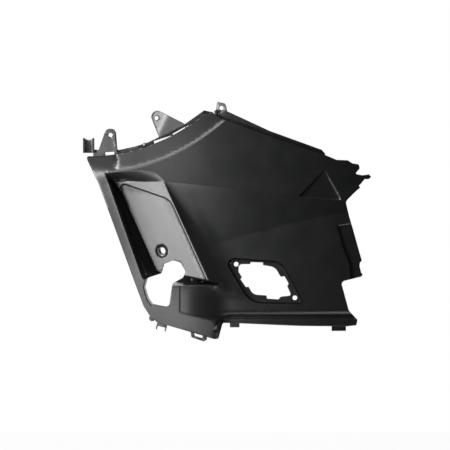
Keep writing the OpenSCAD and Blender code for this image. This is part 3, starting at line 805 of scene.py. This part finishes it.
def finished_mesh(name: str, verts: list, faces: list, sharp: float = 38.0) -> bpy.types.Object:
    """Makes a smooth-shaded piece that keeps its sharp corners.

    Args:
        name: The piece's name.
        verts: Corners in metres.
        faces: Corner numbers of each face.
        sharp: Angle in degrees past which an edge stays sharp.

    Returns:
        The piece, linked to the scene.
    """
    mesh = bpy.data.meshes.new(name)
    mesh.from_pydata(verts, [], faces)
    mesh.validate()
    mark_edges(mesh)
    mesh.polygons.foreach_set("use_smooth", [True] * len(mesh.polygons))
    mesh.set_sharp_from_angle(angle=math.radians(sharp))
    piece = bpy.data.objects.new(name, mesh)
    bpy.context.scene.collection.objects.link(piece)
    return piece


@dataclass
class Skin:
    """The moulded skin: outer faces, inner faces a wall behind them, and the walls along its edges."""

    form: PanelForm
    soften: float = 0.62
    row_pitch: float = 2.2
    front_rows: tuple[float, ...] = (-1.9, -1.15, -0.55, 0.0, 0.55, 1.15, 1.9)
    back_rows: tuple[float, ...] = (-1.1, 0.0, 1.1)
    seat_rows: tuple[float, ...] = (-1.5, -1.15, -0.9, -0.65, -0.4, -0.07, 0.07, 0.4, 0.65, 0.9, 1.15, 1.5)
    edge_r: float = 0.8
    rear_edge_r: float = 1.9

    def rows(self, grid: DepthMap, offsets: Sequence[float]) -> np.ndarray:
        """Returns points in rows along every line where two faces meet."""
        out = []
        for line in grid.seams():
            points, normals = walked(line, self.row_pitch)
            out.extend(points + normals * offset for offset in sorted(offsets, key=abs))
        return np.concatenate(out)

    def holes(self) -> list[np.ndarray]:
        """Returns the outlines of the openings and of the screw holes."""
        turn = np.linspace(0, 2 * math.pi, 40, endpoint=False)
        across = unit(np.cross((0, 0, 1), self.form.floor_out))
        up = np.cross(self.form.floor_out, across)
        ring = 5.0 * (np.cos(turn)[:, None] * across + np.sin(turn)[:, None] * up)
        screw = [disc(x, z, LAMP_HOLE_R, 32) for x, z in LAMP_HOLES]
        return [rounded(LAMP_OPENING), rounded(CUT_OUT), ring[:, [0, 2]], *screw]

    def back(self, inner: DepthMap, outline: np.ndarray) -> Depth:
        """Returns the inner depth, with the walls that stand along the closed edges."""
        crown = self.form.crown
        zones = ((FRONT_ZONE, 14.0), (TOP_ZONE, TOP_FLANGE_DEPTH + WALL), (REAR_ZONE, REAR_FLANGE_DEPTH + WALL))

        def depth(x: np.ndarray, z: np.ndarray) -> np.ndarray:
            y = inner.at(x, z)
            strip = (edge_distance(x, z, outline) < WALL + 0.05) & ~inside(x, z, np.array(OPEN_SIDE))
            for zone, reach in zones:
                wall = strip & inside(x, z, np.array(zone))
                y = np.where(wall, np.maximum(y, crown.depth(x) + reach), y)
            return y

        return depth

    def radius(self, x: np.ndarray, z: np.ndarray) -> np.ndarray:
        """Radius of the front edge, larger along the rear part of the top."""
        return np.where(inside(x, z, np.array(REAR_ZONE)), self.rear_edge_r, self.edge_r)

    def build(self) -> bpy.types.Object:
        """Makes the skin."""
        outer = DepthMap(self.form, 0.0, self.soften)
        inner = DepthMap(self.form, WALL, self.soften)
        outline = panel_outline()
        x, z = np.meshgrid(np.arange(82.0, 272.0, 3.2), np.arange(-99.6, -78.0, 0.9))
        cove = np.stack([x.ravel(), z.ravel()], 1)
        rows = np.concatenate([self.rows(outer, self.front_rows), cove, self.rows(inner, self.back_rows)])
        ring = rounded(SEAT, 10)
        points, normals = walked(np.concatenate([ring, ring[:1]]), 1.3)
        lines = np.concatenate([points + normals * offset for offset in self.seat_rows])
        sheet = Sheet("skin", outline, self.holes(), lambda x, z: self.form.seated(x, z, outer.at(x, z)),
                      self.back(inner, outline), self.radius, rows=rows, lines=lines,
                      skirts=(WALL - 0.05, WALL + 0.15))
        return sheet.build()


OPEN_SIDE = ((233, 137), (300, 140), (310, -120), (40, -140), (-28, -108), (-14, -60), (60, -60), (232, 20))
FRONT_ZONE = ((-150, 131), (-99, 126), (-60, 60), (0, -90), (30, -130), (-60, -130), (-150, 0))
TOP_ZONE = ((-150, 131), (-99, 126), (20, 140), (77, 175), (77, 240), (-150, 240))
REAR_ZONE = ((77, 160), (77, 240), (320, 240), (320, 110), (233, 120))
TOP_FLANGE_DEPTH = 24.0
REAR_FLANGE_DEPTH = 6.0
EAR_HOLE_R = 3.0
FLANGE_TOP = ((-97, 143, 1), (-89.3, 141.7, 2), (-78.9, 171.6, 8), (-65.2, 171.6, 8), (-62.7, 141.3, 2),
              (-36.4, 147, 0), (-19.6, 152.3, 0), (30.8, 177, 4), (58.8, 197, 1), (71.4, 194.6, 1))
FLANGE_SLOTS = (((-80.2, 138.6), (-67.2, 139.3)), ((-11.6, 154), (12.6, 161.7)), ((14.8, 164.2), (32.3, 174)),
                ((33.8, 175.2), (36.6, 176.9)))
REAR_FLANGE = ((75.6, 198, 0.5), (77.4, 208.47, 0.6), (89.2, 206.3, 5.5), (91.3, 195.3, 2), (151, 168, 0),
               (224, 142, 2), (229, 136.5, 1), (228, 132, 0), (150, 158, 0), (84, 181, 0), (75, 184, 0))


@dataclass
class Flanges:
    """Set-back flanges behind the top edge, with their ears."""

    crown: Bend
    edge_r: float = 0.6

    lip_lean: float = 0.42
    lip_height: float = 9.0
    ear_lean: float = 0.36
    joggle_height: float = 3.6

    def lip(self, x: np.ndarray, z: np.ndarray) -> np.ndarray:
        """How far the top flange leans forward above the top edge."""
        high = np.vectorize(top_height)(np.minimum(x, 75.0)) + np.where((x > -66) & (x < -37), self.joggle_height, 0)
        return -self.lip_lean * np.clip(z - high, 0, self.lip_height) * np.clip((x + 65) / 4, 0, 1)

    def ear(self, x: np.ndarray, z: np.ndarray) -> np.ndarray:
        """How far the rear flange leans forward at its top, and its ear back to the left."""
        corners = np.array([corner[:2] for corner in REAR_EDGE[:4]])
        high = np.interp(x, corners[:, 0], corners[:, 1])
        turned_ear = self.ear_lean * np.clip(90 - x, 0, 20) * np.clip((z - 193) / 3, 0, 1)
        return turned_ear - self.lip_lean * np.clip(z - high, 0, 8)

    def plate(self, name: str, outline: np.ndarray, holes: list[np.ndarray], depth: float,
              lean: Depth) -> bpy.types.Object:
        """Makes a plate that follows the upper bend at the given depth, and leans from it by the given lean."""
        def front(x: np.ndarray, z: np.ndarray) -> np.ndarray:
            return self.crown.depth(x, depth) + lean(x, z)

        def back(x: np.ndarray, z: np.ndarray) -> np.ndarray:
            return self.crown.depth(x, depth + WALL) + lean(x, z)

        def radius(x: np.ndarray, z: np.ndarray) -> np.ndarray:
            return np.full(x.shape, self.edge_r)

        return Sheet(name, outline, holes, front, back, radius).build()

    def build(self) -> list[bpy.types.Object]:
        """Makes both flanges."""
        lower = [(73.0, 189.0, 0), *((x, top_height(x, TOP_RADIUS + 2), 0) for x in np.linspace(60, -97, 28))]
        slots = []
        for left, right in FLANGE_SLOTS:
            slots.append(rounded([(*left, 0.5), (*right, 0.5), (right[0], top_height(right[0]) - 1, 0.3),
                                  (left[0] + 1, top_height(left[0]) - 1, 0.3)], 3))
        top = self.plate("top_flange", rounded([*FLANGE_TOP, *lower]), [disc(-72.4, 162.8, EAR_HOLE_R), *slots],
                         TOP_FLANGE_DEPTH, self.lip)
        rear = self.plate("rear_flange", rounded(REAR_FLANGE), [disc(83.2, 199.9, EAR_HOLE_R)], REAR_FLANGE_DEPTH,
                          self.ear)
        return [top, rear]


def turned(name: str, at: Sequence[float], axis: Sequence[float], profile: Sequence[tuple[float, float]],
           ring: bool = False, steps: int = 48) -> bpy.types.Object:
    """Turns a profile about an axis.

    Args:
        name: The piece's name.
        at: Start of the axis, in millimetres.
        axis: Direction of the axis.
        profile: Corners as (radius, distance along the axis).
        ring: Whether the profile is closed, as for a tube, and doesn't meet the axis.
        steps: Segments round the axis.

    Returns:
        The piece.
    """
    w = unit(axis)
    u = unit(np.cross(w, (0.31, 0.22, 0.93)))
    v = np.cross(w, u)
    verts: list[list[float]] = []
    for r, h in profile:
        for k in range(steps):
            turn = 2 * math.pi * k / steps
            spot = np.asarray(at, float) + w * h + (u * math.cos(turn) + v * math.sin(turn)) * r
            verts.append((spot * MM).tolist())
    faces: list[tuple[int, ...]] = []
    count = len(profile)
    for i in range(count if ring else count - 1):
        j = (i + 1) % count
        for k in range(steps):
            m = (k + 1) % steps
            faces.append((i * steps + k, i * steps + m, j * steps + m, j * steps + k))
    if not ring:
        faces.append(tuple(reversed(range(steps))))
        faces.append(tuple(range((count - 1) * steps, count * steps)))
    return finished_mesh(name, verts, faces)


def rounded_profile(corners: Sequence[Sequence[float]]) -> list[tuple[float, float]]:
    """Rounds the corners of a turned profile, given as (radius, distance, corner radius)."""
    return [(float(r), float(h)) for r, h in rounded(corners, 4)]


def level(value: float) -> Depth:
    """Returns the same number at every place."""
    return lambda x, z: np.full(x.shape, value)


@dataclass
class UpperEar:
    """Bent ear behind the top flange, and the web that carries it."""

    crown: Bend
    foot: tuple[float, float] = (33.5, 172.0)
    root_tilt: float = 12.0
    tip_tilt: float = 30.0
    bend_r: float = 0.6
    corners: tuple = ((-23.1, 206.4, 8.4), (37.0, 175.6, 0.3), (33.0, 174.6, 0.5), (14.0, 164.6, 0.5),
                      (-3.5, 157.2, 0.8))
    fold: tuple = ((4.9, 186.2), (-4.9, 165.9))
    hole: tuple[float, float] = (-8.0, 186.6)
    web: tuple = ((-3.5, 157.4, 0.3), (14.0, 164.9, 0.3), (33.6, 175.0, 0.3), (33.6, 176.6, 0.3), (14.0, 166.6, 0.3),
                  (-3.5, 159.2, 0.3))

    def __post_init__(self) -> None:
        """Works out the two planes of the ear."""
        root = math.radians(self.root_tilt)
        foot_y = float(self.crown.depth(np.array(self.foot[0]))) + TOP_FLANGE_DEPTH
        self.root = Plane((self.foot[0], foot_y, self.foot[1]), (-math.sin(root), -math.cos(root), 0))
        ends = [(x, foot_y + (self.foot[0] - x) * math.tan(root), z) for x, z in self.fold]
        axis = Vector(ends[0]) - Vector(ends[1])
        turn = Matrix.Rotation(math.radians(self.root_tilt - self.tip_tilt), 3, axis.normalized())
        self.tip = Plane(ends[0], tuple(turn @ Vector(self.root.normal)))

    def depth(self, x: np.ndarray, z: np.ndarray, t: float) -> np.ndarray:
        """Depth of the ear's face, moved back by t, with the round of its bend."""
        r = self.bend_r
        return r * np.logaddexp(self.root.depth(x, z, t) / r, self.tip.depth(x, z, t) / r)

    def build(self) -> list[bpy.types.Object]:
        """Makes the ear and its web."""
        turn = np.linspace(0, 2 * math.pi, 40, endpoint=False)
        out = unit(self.tip.normal)
        across = unit(np.cross((0, 0, 1), out))
        up = np.cross(out, across)
        ring = EAR_HOLE_R * (np.cos(turn)[:, None] * across + np.sin(turn)[:, None] * up)
        line, normals = walked(np.array(self.fold), 1.5)
        rows = np.concatenate([line + normals * offset for offset in (-5, -3.4, -2.2, -1.1, 0, 1.1, 2.2, 3.4, 5)])
        ear = Sheet("upper_ear", rounded(self.corners, 10), [ring[:, [0, 2]] + np.array(self.hole)],
                    lambda x, z: self.depth(x, z, 0), lambda x, z: self.depth(x, z, WALL), level(0.6),
                    pitch=3.0, rows=rows).build()
        web = Sheet("ear_web", rounded(self.web, 2), [], lambda x, z: self.crown.depth(x, TOP_FLANGE_DEPTH),
                    lambda x, z: self.depth(x, z, WALL / 2), level(0.3)).build()
        return [ear, web]


@dataclass
class Hook:
    """Half-pipe hook at the front end of the top flange, open to the front."""

    crown: Bend
    place: tuple[float, float] = (-103.2, 137.6)
    radius: float = 8.0
    height: float = 21.0
    notch_r: float = 7.0
    notch_rise: float = 4.0
    steps: int = 28

    def build(self) -> bpy.types.Object:
        """Makes the hook."""
        middle_y = float(self.crown.depth(np.array(self.place[0]))) + TOP_FLANGE_DEPTH - self.radius + WALL
        top = self.place[1] + self.height
        soft = 0.5
        wall = [(self.radius, soft), (self.radius - soft * 0.3, soft * 0.3), (self.radius - soft, 0.0),
                (self.radius - WALL + soft, 0.0), (self.radius - WALL + soft * 0.3, soft * 0.3),
                (self.radius - WALL, soft)]
        count = 2 * len(wall)
        verts: list[tuple[float, float, float]] = []
        for k in range(self.steps + 1):
            turn = math.pi * k / self.steps
            for r, inset in wall + [(r, -inset) for r, inset in reversed(wall)]:
                x = r * math.copysign(abs(math.cos(turn)) ** 0.25, math.cos(turn))
                y = r * math.sin(turn) ** 0.25
                if len(verts) % count < len(wall):
                    z = self.place[1] + inset
                else:
                    dip = math.sqrt(max(self.notch_r ** 2 - x * x, 0)) - self.notch_rise
                    z = top - max(dip, 0) + inset
                verts.append(((self.place[0] + x) * MM, (middle_y + y) * MM, z * MM))
        faces: list[tuple[int, ...]] = []
        for k in range(self.steps):
            for i in range(count):
                j = (i + 1) % count
                faces.append((k * count + i, k * count + j, (k + 1) * count + j, (k + 1) * count + i))
        faces.append(tuple(reversed(range(count))))
        faces.append(tuple(range(self.steps * count, (self.steps + 1) * count)))
        return finished_mesh("front_hook", verts, faces)


@dataclass
class Fixings:
    """Small moulded fixings: screw boss, peg, rib, and the clips along the lower edge."""

    form: PanelForm
    loop_outer: tuple = ((39.2, -108, 0.4), (41.3, -120.4, 1.5), (58.8, -126.3, 2), (63, -123.5, 1), (63, -112, 0.4))
    loop_inner: tuple = ((44.8, -113.4, 0.6), (57.2, -117, 0.6), (56.5, -121.5, 0.6), (46.2, -118.3, 0.6))
    skirt_tabs: tuple = ((95.0, 108.5, -107.1), (238.0, 258.5, -112.7))
    fork_place: tuple[float, float] = (2.0, -96.0)
    fork_w: float = 12.6
    fork_h: float = 15.0
    fork_tilt: float = 14.0
    bump_place: tuple[float, float] = (-13.5, -93.5)
    bump_r: float = 4.5
    peg_place: tuple[float, float] = (75.7, 194.2)
    peg_r: float = 2.8
    pip_place: tuple[float, float] = (-24.5, 148.9)
    pip_r: float = 2.7
    rib: tuple = ((-66.2, 165.0, 0.2), (-63.0, 138.0, 0.2), (-64.5, 138.0, 0.2), (-67.7, 165.0, 0.2))

    def face(self, bend: Bend, depth: float) -> Depth:
        """Returns the depth of a face that lies behind a bend."""
        return lambda x, z: bend.depth(x, depth)

    def boss(self) -> bpy.types.Object:
        """Makes the boss behind the pocket's screw hole."""
        start, end, hole, outer = 0.35, 6.0, 4.98, SCREW_SEAT_R + WALL
        profile = rounded_profile(((hole, start, 0.0), (hole, end, 0.5), (outer, end, 0.8), (outer, start, 0.0)))
        return turned("screw_boss", (0, 0, 0), -self.form.floor_out, profile, ring=True)

    def peg(self) -> bpy.types.Object:
        """Makes the peg beside the rear ear."""
        x, z = self.peg_place
        y = float(self.form.crown.depth(np.array(x))) + REAR_FLANGE_DEPTH + 1
        profile = rounded_profile(((self.peg_r, 0.0, 0.0), (self.peg_r, 6.0, 2.5), (0.2, 6.0, 0.0)))
        return turned("rear_peg", (x, y, z), (0, -1, 0), profile, steps=32)

    def pip(self) -> bpy.types.Object:
        """Makes the small pip on the lip of the top flange."""
        x, z = self.pip_place
        y = float(self.form.crown.depth(np.array(x))) + TOP_FLANGE_DEPTH - 0.4
        profile = rounded_profile(((self.pip_r, 0.0, 0.0), (self.pip_r, 2.4, 2.0), (0.1, 2.4, 0.0)))
        return turned("lip_pip", (x, y, z), (-0.35, -1, 0.25), profile, steps=32)

    def bump(self) -> bpy.types.Object:
        """Makes the round lug at the front of the lower edge."""
        x, z = self.bump_place
        y = float(self.form.crown.depth(np.array(x))) + 0.8
        profile = rounded_profile(((self.bump_r - 0.6, -WALL, 0.0), (self.bump_r, -WALL, 0.0),
                                   (self.bump_r, 0.0, 1.2), (0.2, 0.0, 0.0)))
        return turned("front_lug", (x, y, z), (0, -1, 0), profile, steps=32)

    def fork(self) -> bpy.types.Object:
        """Makes the small fork that stands out of the lower edge."""
        w, h = self.fork_w / 2, self.fork_h
        shape = ((-w - 1, 0.4), (-w - 1, -h), (-w + 1, -h), (-w + 1, 5 - h), (w - 1, 5 - h), (w - 1, -h), (w + 1, -h),
                 (w + 1, 0.4), (w - 1, 0.4), (w - 1, 11 - h), (-w + 1, 11 - h), (-w + 1, 0.4))
        turn = math.radians(self.fork_tilt)
        x0, z0 = self.fork_place
        outline = [(x0 + x * math.cos(turn) + z * math.sin(turn), z0 - x * math.sin(turn) + z * math.cos(turn), 0.4)
                   for x, z in shape]
        front = float(self.form.crown.depth(np.array(x0))) + 0.8

        def back(x: np.ndarray, z: np.ndarray) -> np.ndarray:
            across = (x - x0) * math.cos(turn) - (z - z0) * math.sin(turn)
            return np.where(np.abs(across) < w - 1.1, front + WALL, front + 5)

        return Sheet("edge_fork", rounded(outline, 3), [], level(front), back, level(0.4), edge_step=1.0).build()

    def build(self) -> list[bpy.types.Object]:
        """Makes every fixing."""
        crown, lower = self.form.crown, self.form.lower
        loop = Sheet("edge_loop", rounded(self.loop_outer, 4), [rounded(self.loop_inner, 4)], self.face(crown, 0.5),
                     self.face(crown, 0.5 + WALL), level(0.6)).build()
        rib = Sheet("ear_rib", rounded(self.rib, 2), [], self.face(crown, TOP_FLANGE_DEPTH - 5),
                    self.face(crown, TOP_FLANGE_DEPTH + WALL / 2), level(0.3), edge_step=1.2).build()
        tabs = []
        for number, (left, right, low) in enumerate(self.skirt_tabs, 1):
            high = self.form.skirt_top - 3
            outline = rounded(((left, high, 0.3), (right, high, 0.3), (right, low, 0.8), (left, low, 0.8)), 3)
            depth = self.form.skirt_depth + 0.3
            tabs.append(Sheet(f"skirt_tab_{number}", outline, [], self.face(lower, depth),
                              self.face(lower, depth + WALL), level(0.5)).build())
        return [self.boss(), self.peg(), self.pip(), self.bump(), self.fork(), loop, rib, *tabs]


class Value:
    """Number that varies over a surface. Python's operators on it add Math nodes."""

    def __init__(self, shader: "Shader", socket: bpy.types.NodeSocket) -> None:
        """Wraps a socket of the shader."""
        self.shader = shader
        self.socket = socket

    def math(self, operation: str, first: "Value | float", second: "Value | float") -> "Value":
        """Adds a Math node and returns its result."""
        node = self.shader.node("ShaderNodeMath", {"operation": operation}, {0: first, 1: second})
        return Value(self.shader, node.outputs[0])

    def __add__(self, other: "Value | float") -> "Value":
        """Adds."""
        return self.math("ADD", self, other)

    __radd__ = __add__

    def __sub__(self, other: "Value | float") -> "Value":
        """Subtracts."""
        return self.math("SUBTRACT", self, other)

    def __rsub__(self, other: "Value | float") -> "Value":
        """Subtracts from a number."""
        return self.math("SUBTRACT", other, self)

    def __mul__(self, other: "Value | float") -> "Value":
        """Multiplies."""
        return self.math("MULTIPLY", self, other)

    __rmul__ = __mul__

    def clamped(self) -> "Value":
        """Keeps the number between 0 and 1."""
        return self.math("MINIMUM", self.math("MAXIMUM", self, 0.0), 1.0)


class Shader:
    """Node tree of a material or of the world."""

    def __init__(self, owner: bpy.types.Material | bpy.types.World) -> None:
        """Empties the owner's node tree."""
        owner.use_nodes = True
        self.tree = owner.node_tree
        self.tree.nodes.clear()

    def node(self, kind: str, settings: dict[str, object], inputs: dict[str | int, object]) -> bpy.types.Node:
        """Adds a node.

        Args:
            kind: The node's type.
            settings: Its own settings.
            inputs: Numbers, sockets or values for its sockets.

        Returns:
            The node.
        """
        node = self.tree.nodes.new(kind)
        for name, setting in settings.items():
            setattr(node, name, setting)
        for name, given in inputs.items():
            given = given.socket if isinstance(given, Value) else given
            if isinstance(given, bpy.types.NodeSocket):
                self.tree.links.new(given, node.inputs[name])
            else:
                node.inputs[name].default_value = given
        return node

    def noise(self, size: float, detail: float, roughness: float = 0.5) -> Value:
        """Returns a noise whose lumps have the given size in millimetres."""
        place = self.node("ShaderNodeTexCoord", {}, {}).outputs["Object"]
        node = self.node("ShaderNodeTexNoise", {}, {"Vector": place, "Scale": 1 / (size * MM), "Detail": detail,
                                                    "Roughness": roughness})
        return Value(self, node.outputs["Fac"])

    def mix(self, share: Value, first: object, second: object) -> bpy.types.NodeSocket:
        """Mixes two colours."""
        node = self.node("ShaderNodeMix", {"data_type": "RGBA"}, {0: share, 6: first, 7: second})
        return node.outputs[2]


@dataclass(frozen=True)
class BlackPlastic:
    """Fine grained black moulded plastic with a satin sheen."""

    colour: tuple[float, float, float, float] = (0.017, 0.018, 0.018, 1)
    faded: tuple[float, float, float, float] = (0.023, 0.024, 0.024, 1)
    # Lighter grey of the convex edges: partly worn plastic, partly a painted highlight.
    worn_and_highlit: tuple[float, float, float, float] = (0.06, 0.062, 0.063, 1)
    roughness: float = 0.40
    roughness_spread: float = 0.10
    grain_size: float = 0.7
    grain_depth: float = 0.05
    dust_size: float = 26.0
    scuff_and_glint_size: float = 4.0
    specular: float = 1.0
    ior: float = 1.6
    coat: float = 0.9
    coat_roughness: float = 0.30

    def material(self) -> bpy.types.Material:
        """Makes the material."""
        material = bpy.data.materials.new(SLOT)
        shader = Shader(material)
        cloud = shader.noise(self.dust_size, 3)
        scuffs_and_glints = shader.noise(self.scuff_and_glint_size, 4, 0.62)
        grain = shader.noise(self.grain_size, 2)
        pebble = shader.noise(self.grain_size * 2.6, 1)
        edge = Value(shader, shader.node("ShaderNodeAttribute", {"attribute_name": EDGE_MARK}, {}).outputs["Fac"])
        # Convex edges mix towards the lighter grey, broken up by noise: partly real edge wear, partly a painted
        # highlight along the rounded edges.
        wear_and_highlight = (edge * (scuffs_and_glints * 2.6 - 0.95)).clamped() * 0.5
        body = shader.mix((cloud * 2.2 - 0.6).clamped(), self.colour, self.faded)
        colour = shader.mix(wear_and_highlight, body, self.worn_and_highlit)
        rough = self.roughness + (cloud - 0.5) * self.roughness_spread + (grain - 0.5) * 0.08 - wear_and_highlight * 0.1
        height = grain * 0.6 + pebble * 0.4
        bump = shader.node("ShaderNodeBump", {}, {"Strength": 0.35, "Distance": self.grain_depth * MM,
                                                  "Height": height})
        surface = shader.node("ShaderNodeBsdfPrincipled", {}, {
            "Base Color": colour, "Roughness": rough, "Normal": bump.outputs["Normal"],
            "IOR": self.ior, "Specular IOR Level": self.specular, "Coat Weight": self.coat,
            "Coat Roughness": self.coat_roughness})
        shader.node("ShaderNodeOutputMaterial", {}, {"Surface": surface.outputs["BSDF"]})
        return material


@dataclass(frozen=True)
class Paper:
    """Plain white paper of the floor and the backdrop, which the camera and reflections see at full white.

    Attributes:
        share: How much of that white covers the lit paper with its shadows.
    """

    name: str
    share: float
    colour: tuple[float, float, float, float] = (0.82, 0.82, 0.82, 1)

    def material(self) -> bpy.types.Material:
        """Makes the material."""
        material = bpy.data.materials.new(self.name)
        shader = Shader(material)
        path = shader.node("ShaderNodeLightPath", {}, {})
        seen = Value(shader, path.outputs["Is Camera Ray"]) + Value(shader, path.outputs["Is Glossy Ray"])
        seen = (seen + Value(shader, path.outputs["Is Transmission Ray"])).clamped() * self.share
        lit = shader.node("ShaderNodeBsdfDiffuse", {}, {"Color": self.colour})
        white = shader.node("ShaderNodeEmission", {}, {"Color": (1, 1, 1, 1), "Strength": 1.0})
        both = shader.node("ShaderNodeMixShader", {}, {0: seen, 1: lit.outputs[0], 2: white.outputs[0]})
        shader.node("ShaderNodeOutputMaterial", {}, {"Surface": both.outputs[0]})
        return material


@dataclass(frozen=True)
class Softbox:
    """Rectangular lamp that looks at the panel.

    Attributes:
        name: The lamp's name.
        turn: Its direction from the panel, in degrees to the right of the camera.
        rise: Its direction above the horizon, in degrees.
        distance: Its distance in metres.
        size: Its width and height in metres.
        glow: Its radiance, where 1 is white.
    """

    name: str
    turn: float
    rise: float
    distance: float
    size: tuple[float, float]
    glow: float

    def build(self, target: Vector) -> None:
        """Adds the lamp."""
        data = bpy.data.lights.new(self.name, "AREA")
        data.shape = "RECTANGLE"
        data.size, data.size_y = self.size
        data.energy = self.glow * math.pi * self.size[0] * self.size[1]
        turn, rise = math.radians(self.turn), math.radians(self.rise)
        way = Vector((math.sin(turn) * math.cos(rise), -math.cos(turn) * math.cos(rise), math.sin(rise)))
        lamp = bpy.data.objects.new(self.name, data)
        lamp.location = target + way * self.distance
        lamp.rotation_euler = way.to_track_quat("Z", "Y").to_euler()
        bpy.context.scene.collection.objects.link(lamp)


@dataclass
class Studio:
    """Camera, lamps, floor, backdrop and world."""

    middle: tuple[float, float] = (88.2, 36.4)
    frame_width: float = 630.0
    plane_y: float = -10.0
    lens: float = 320.0
    floor_z: float = -0.30
    floor_front: float = -0.05
    backdrop_y: float = 0.9
    stage_width: float = 0.9
    ambient: float = 0.008
    softboxes: tuple[Softbox, ...] = (
        Softbox("left_low_strip", -40, -15, 1.7, (0.36, 0.6), 6.0),
        Softbox("left_high_strip", -40, 25, 1.7, (0.36, 0.6), 5.0),
        Softbox("side_high_strip", -52, 25, 1.7, (0.36, 0.6), 11.7),
        Softbox("side_strip", -52, 5, 1.7, (0.36, 0.6), 7.0),
        Softbox("side_low_strip", -64, -15, 1.7, (0.36, 0.6), 11.3),
        Softbox("edge_softbox", -16, 37, 1.7, (0.35, 0.3), 11.0),
        Softbox("upper_fill", -17.5, 19.4, 0.311, (0.14, 0.07), 0.8),
        Softbox("lower_fill", -35.4, -18.0, 0.296, (0.1, 0.09), 1.8),
        Softbox("block_fill", -16.1, -28.8, 0.273, (0.09, 0.06), 2.4),
        Softbox("top_softbox", -20, 76, 1.6, (1.2, 0.8), 0.2))

    def camera(self) -> None:
        """Adds the camera, straight in front of the panel."""
        data = bpy.data.cameras.new("camera")
        data.lens = self.lens
        data.clip_end = 20
        distance = self.frame_width * MM * self.lens / data.sensor_width
        camera = bpy.data.objects.new("camera", data)
        camera.location = (self.middle[0] * MM, self.plane_y * MM - distance, self.middle[1] * MM)
        camera.rotation_euler = (math.pi / 2, 0, 0)
        bpy.context.scene.collection.objects.link(camera)
        bpy.context.scene.camera = camera

    def sheet(self, name: str, corners: list[tuple[float, float, float]], finish: Paper) -> None:
        """Adds a flat stage piece."""
        mesh = bpy.data.meshes.new(name)
        mesh.from_pydata(corners, [], [(0, 1, 2, 3)])
        mesh.materials.append(finish.material())
        piece = bpy.data.objects.new(name, mesh)
        bpy.context.scene.collection.objects.link(piece)

    def build(self) -> None:
        """Sets up the whole studio."""
        self.camera()
        target = Vector((self.middle[0] * MM, 0, self.middle[1] * MM))
        for softbox in self.softboxes:
            softbox.build(target)
        left, right = target.x - self.stage_width / 2, target.x + self.stage_width / 2
        y, z = self.backdrop_y, self.floor_z
        front, top = self.floor_front, self.floor_z + self.stage_width
        self.sheet("floor", [(left, front, z), (right, front, z), (right, y, z), (left, y, z)],
                   Paper("floor_paper", 0.97))
        self.sheet("backdrop", [(left, y, z), (right, y, z), (right, y, top), (left, y, top)],
                   Paper("backdrop_paper", 1.0))
        world = bpy.data.worlds.new("studio")
        shader = Shader(world)
        grey = shader.node("ShaderNodeBackground", {}, {"Color": (1, 1, 1, 1), "Strength": self.ambient})
        shader.node("ShaderNodeOutputWorld", {}, {"Surface": grey.outputs[0]})
        bpy.context.scene.world = world
        bpy.context.scene.view_settings.view_transform = "Standard"


def main() -> None:
    """Builds every piece, dresses it and sets up the studio."""
    logging.basicConfig(level=logging.INFO, format="%(name)s: %(message)s")
    form = PanelForm()
    plastic = BlackPlastic().material()
    pieces = [Skin(form).build(), *Flanges(form.crown).build(), *UpperEar(form.crown).build(),
              Hook(form.crown).build(), *Fixings(form).build()]
    for piece in pieces:
        piece.data.materials.append(plastic)
        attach(piece, BODY)
        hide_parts(NODE)
        log.info("%s: %d faces", piece.name, len(piece.data.polygons))
    Studio().build()


if __name__ == "__main__":
    main()
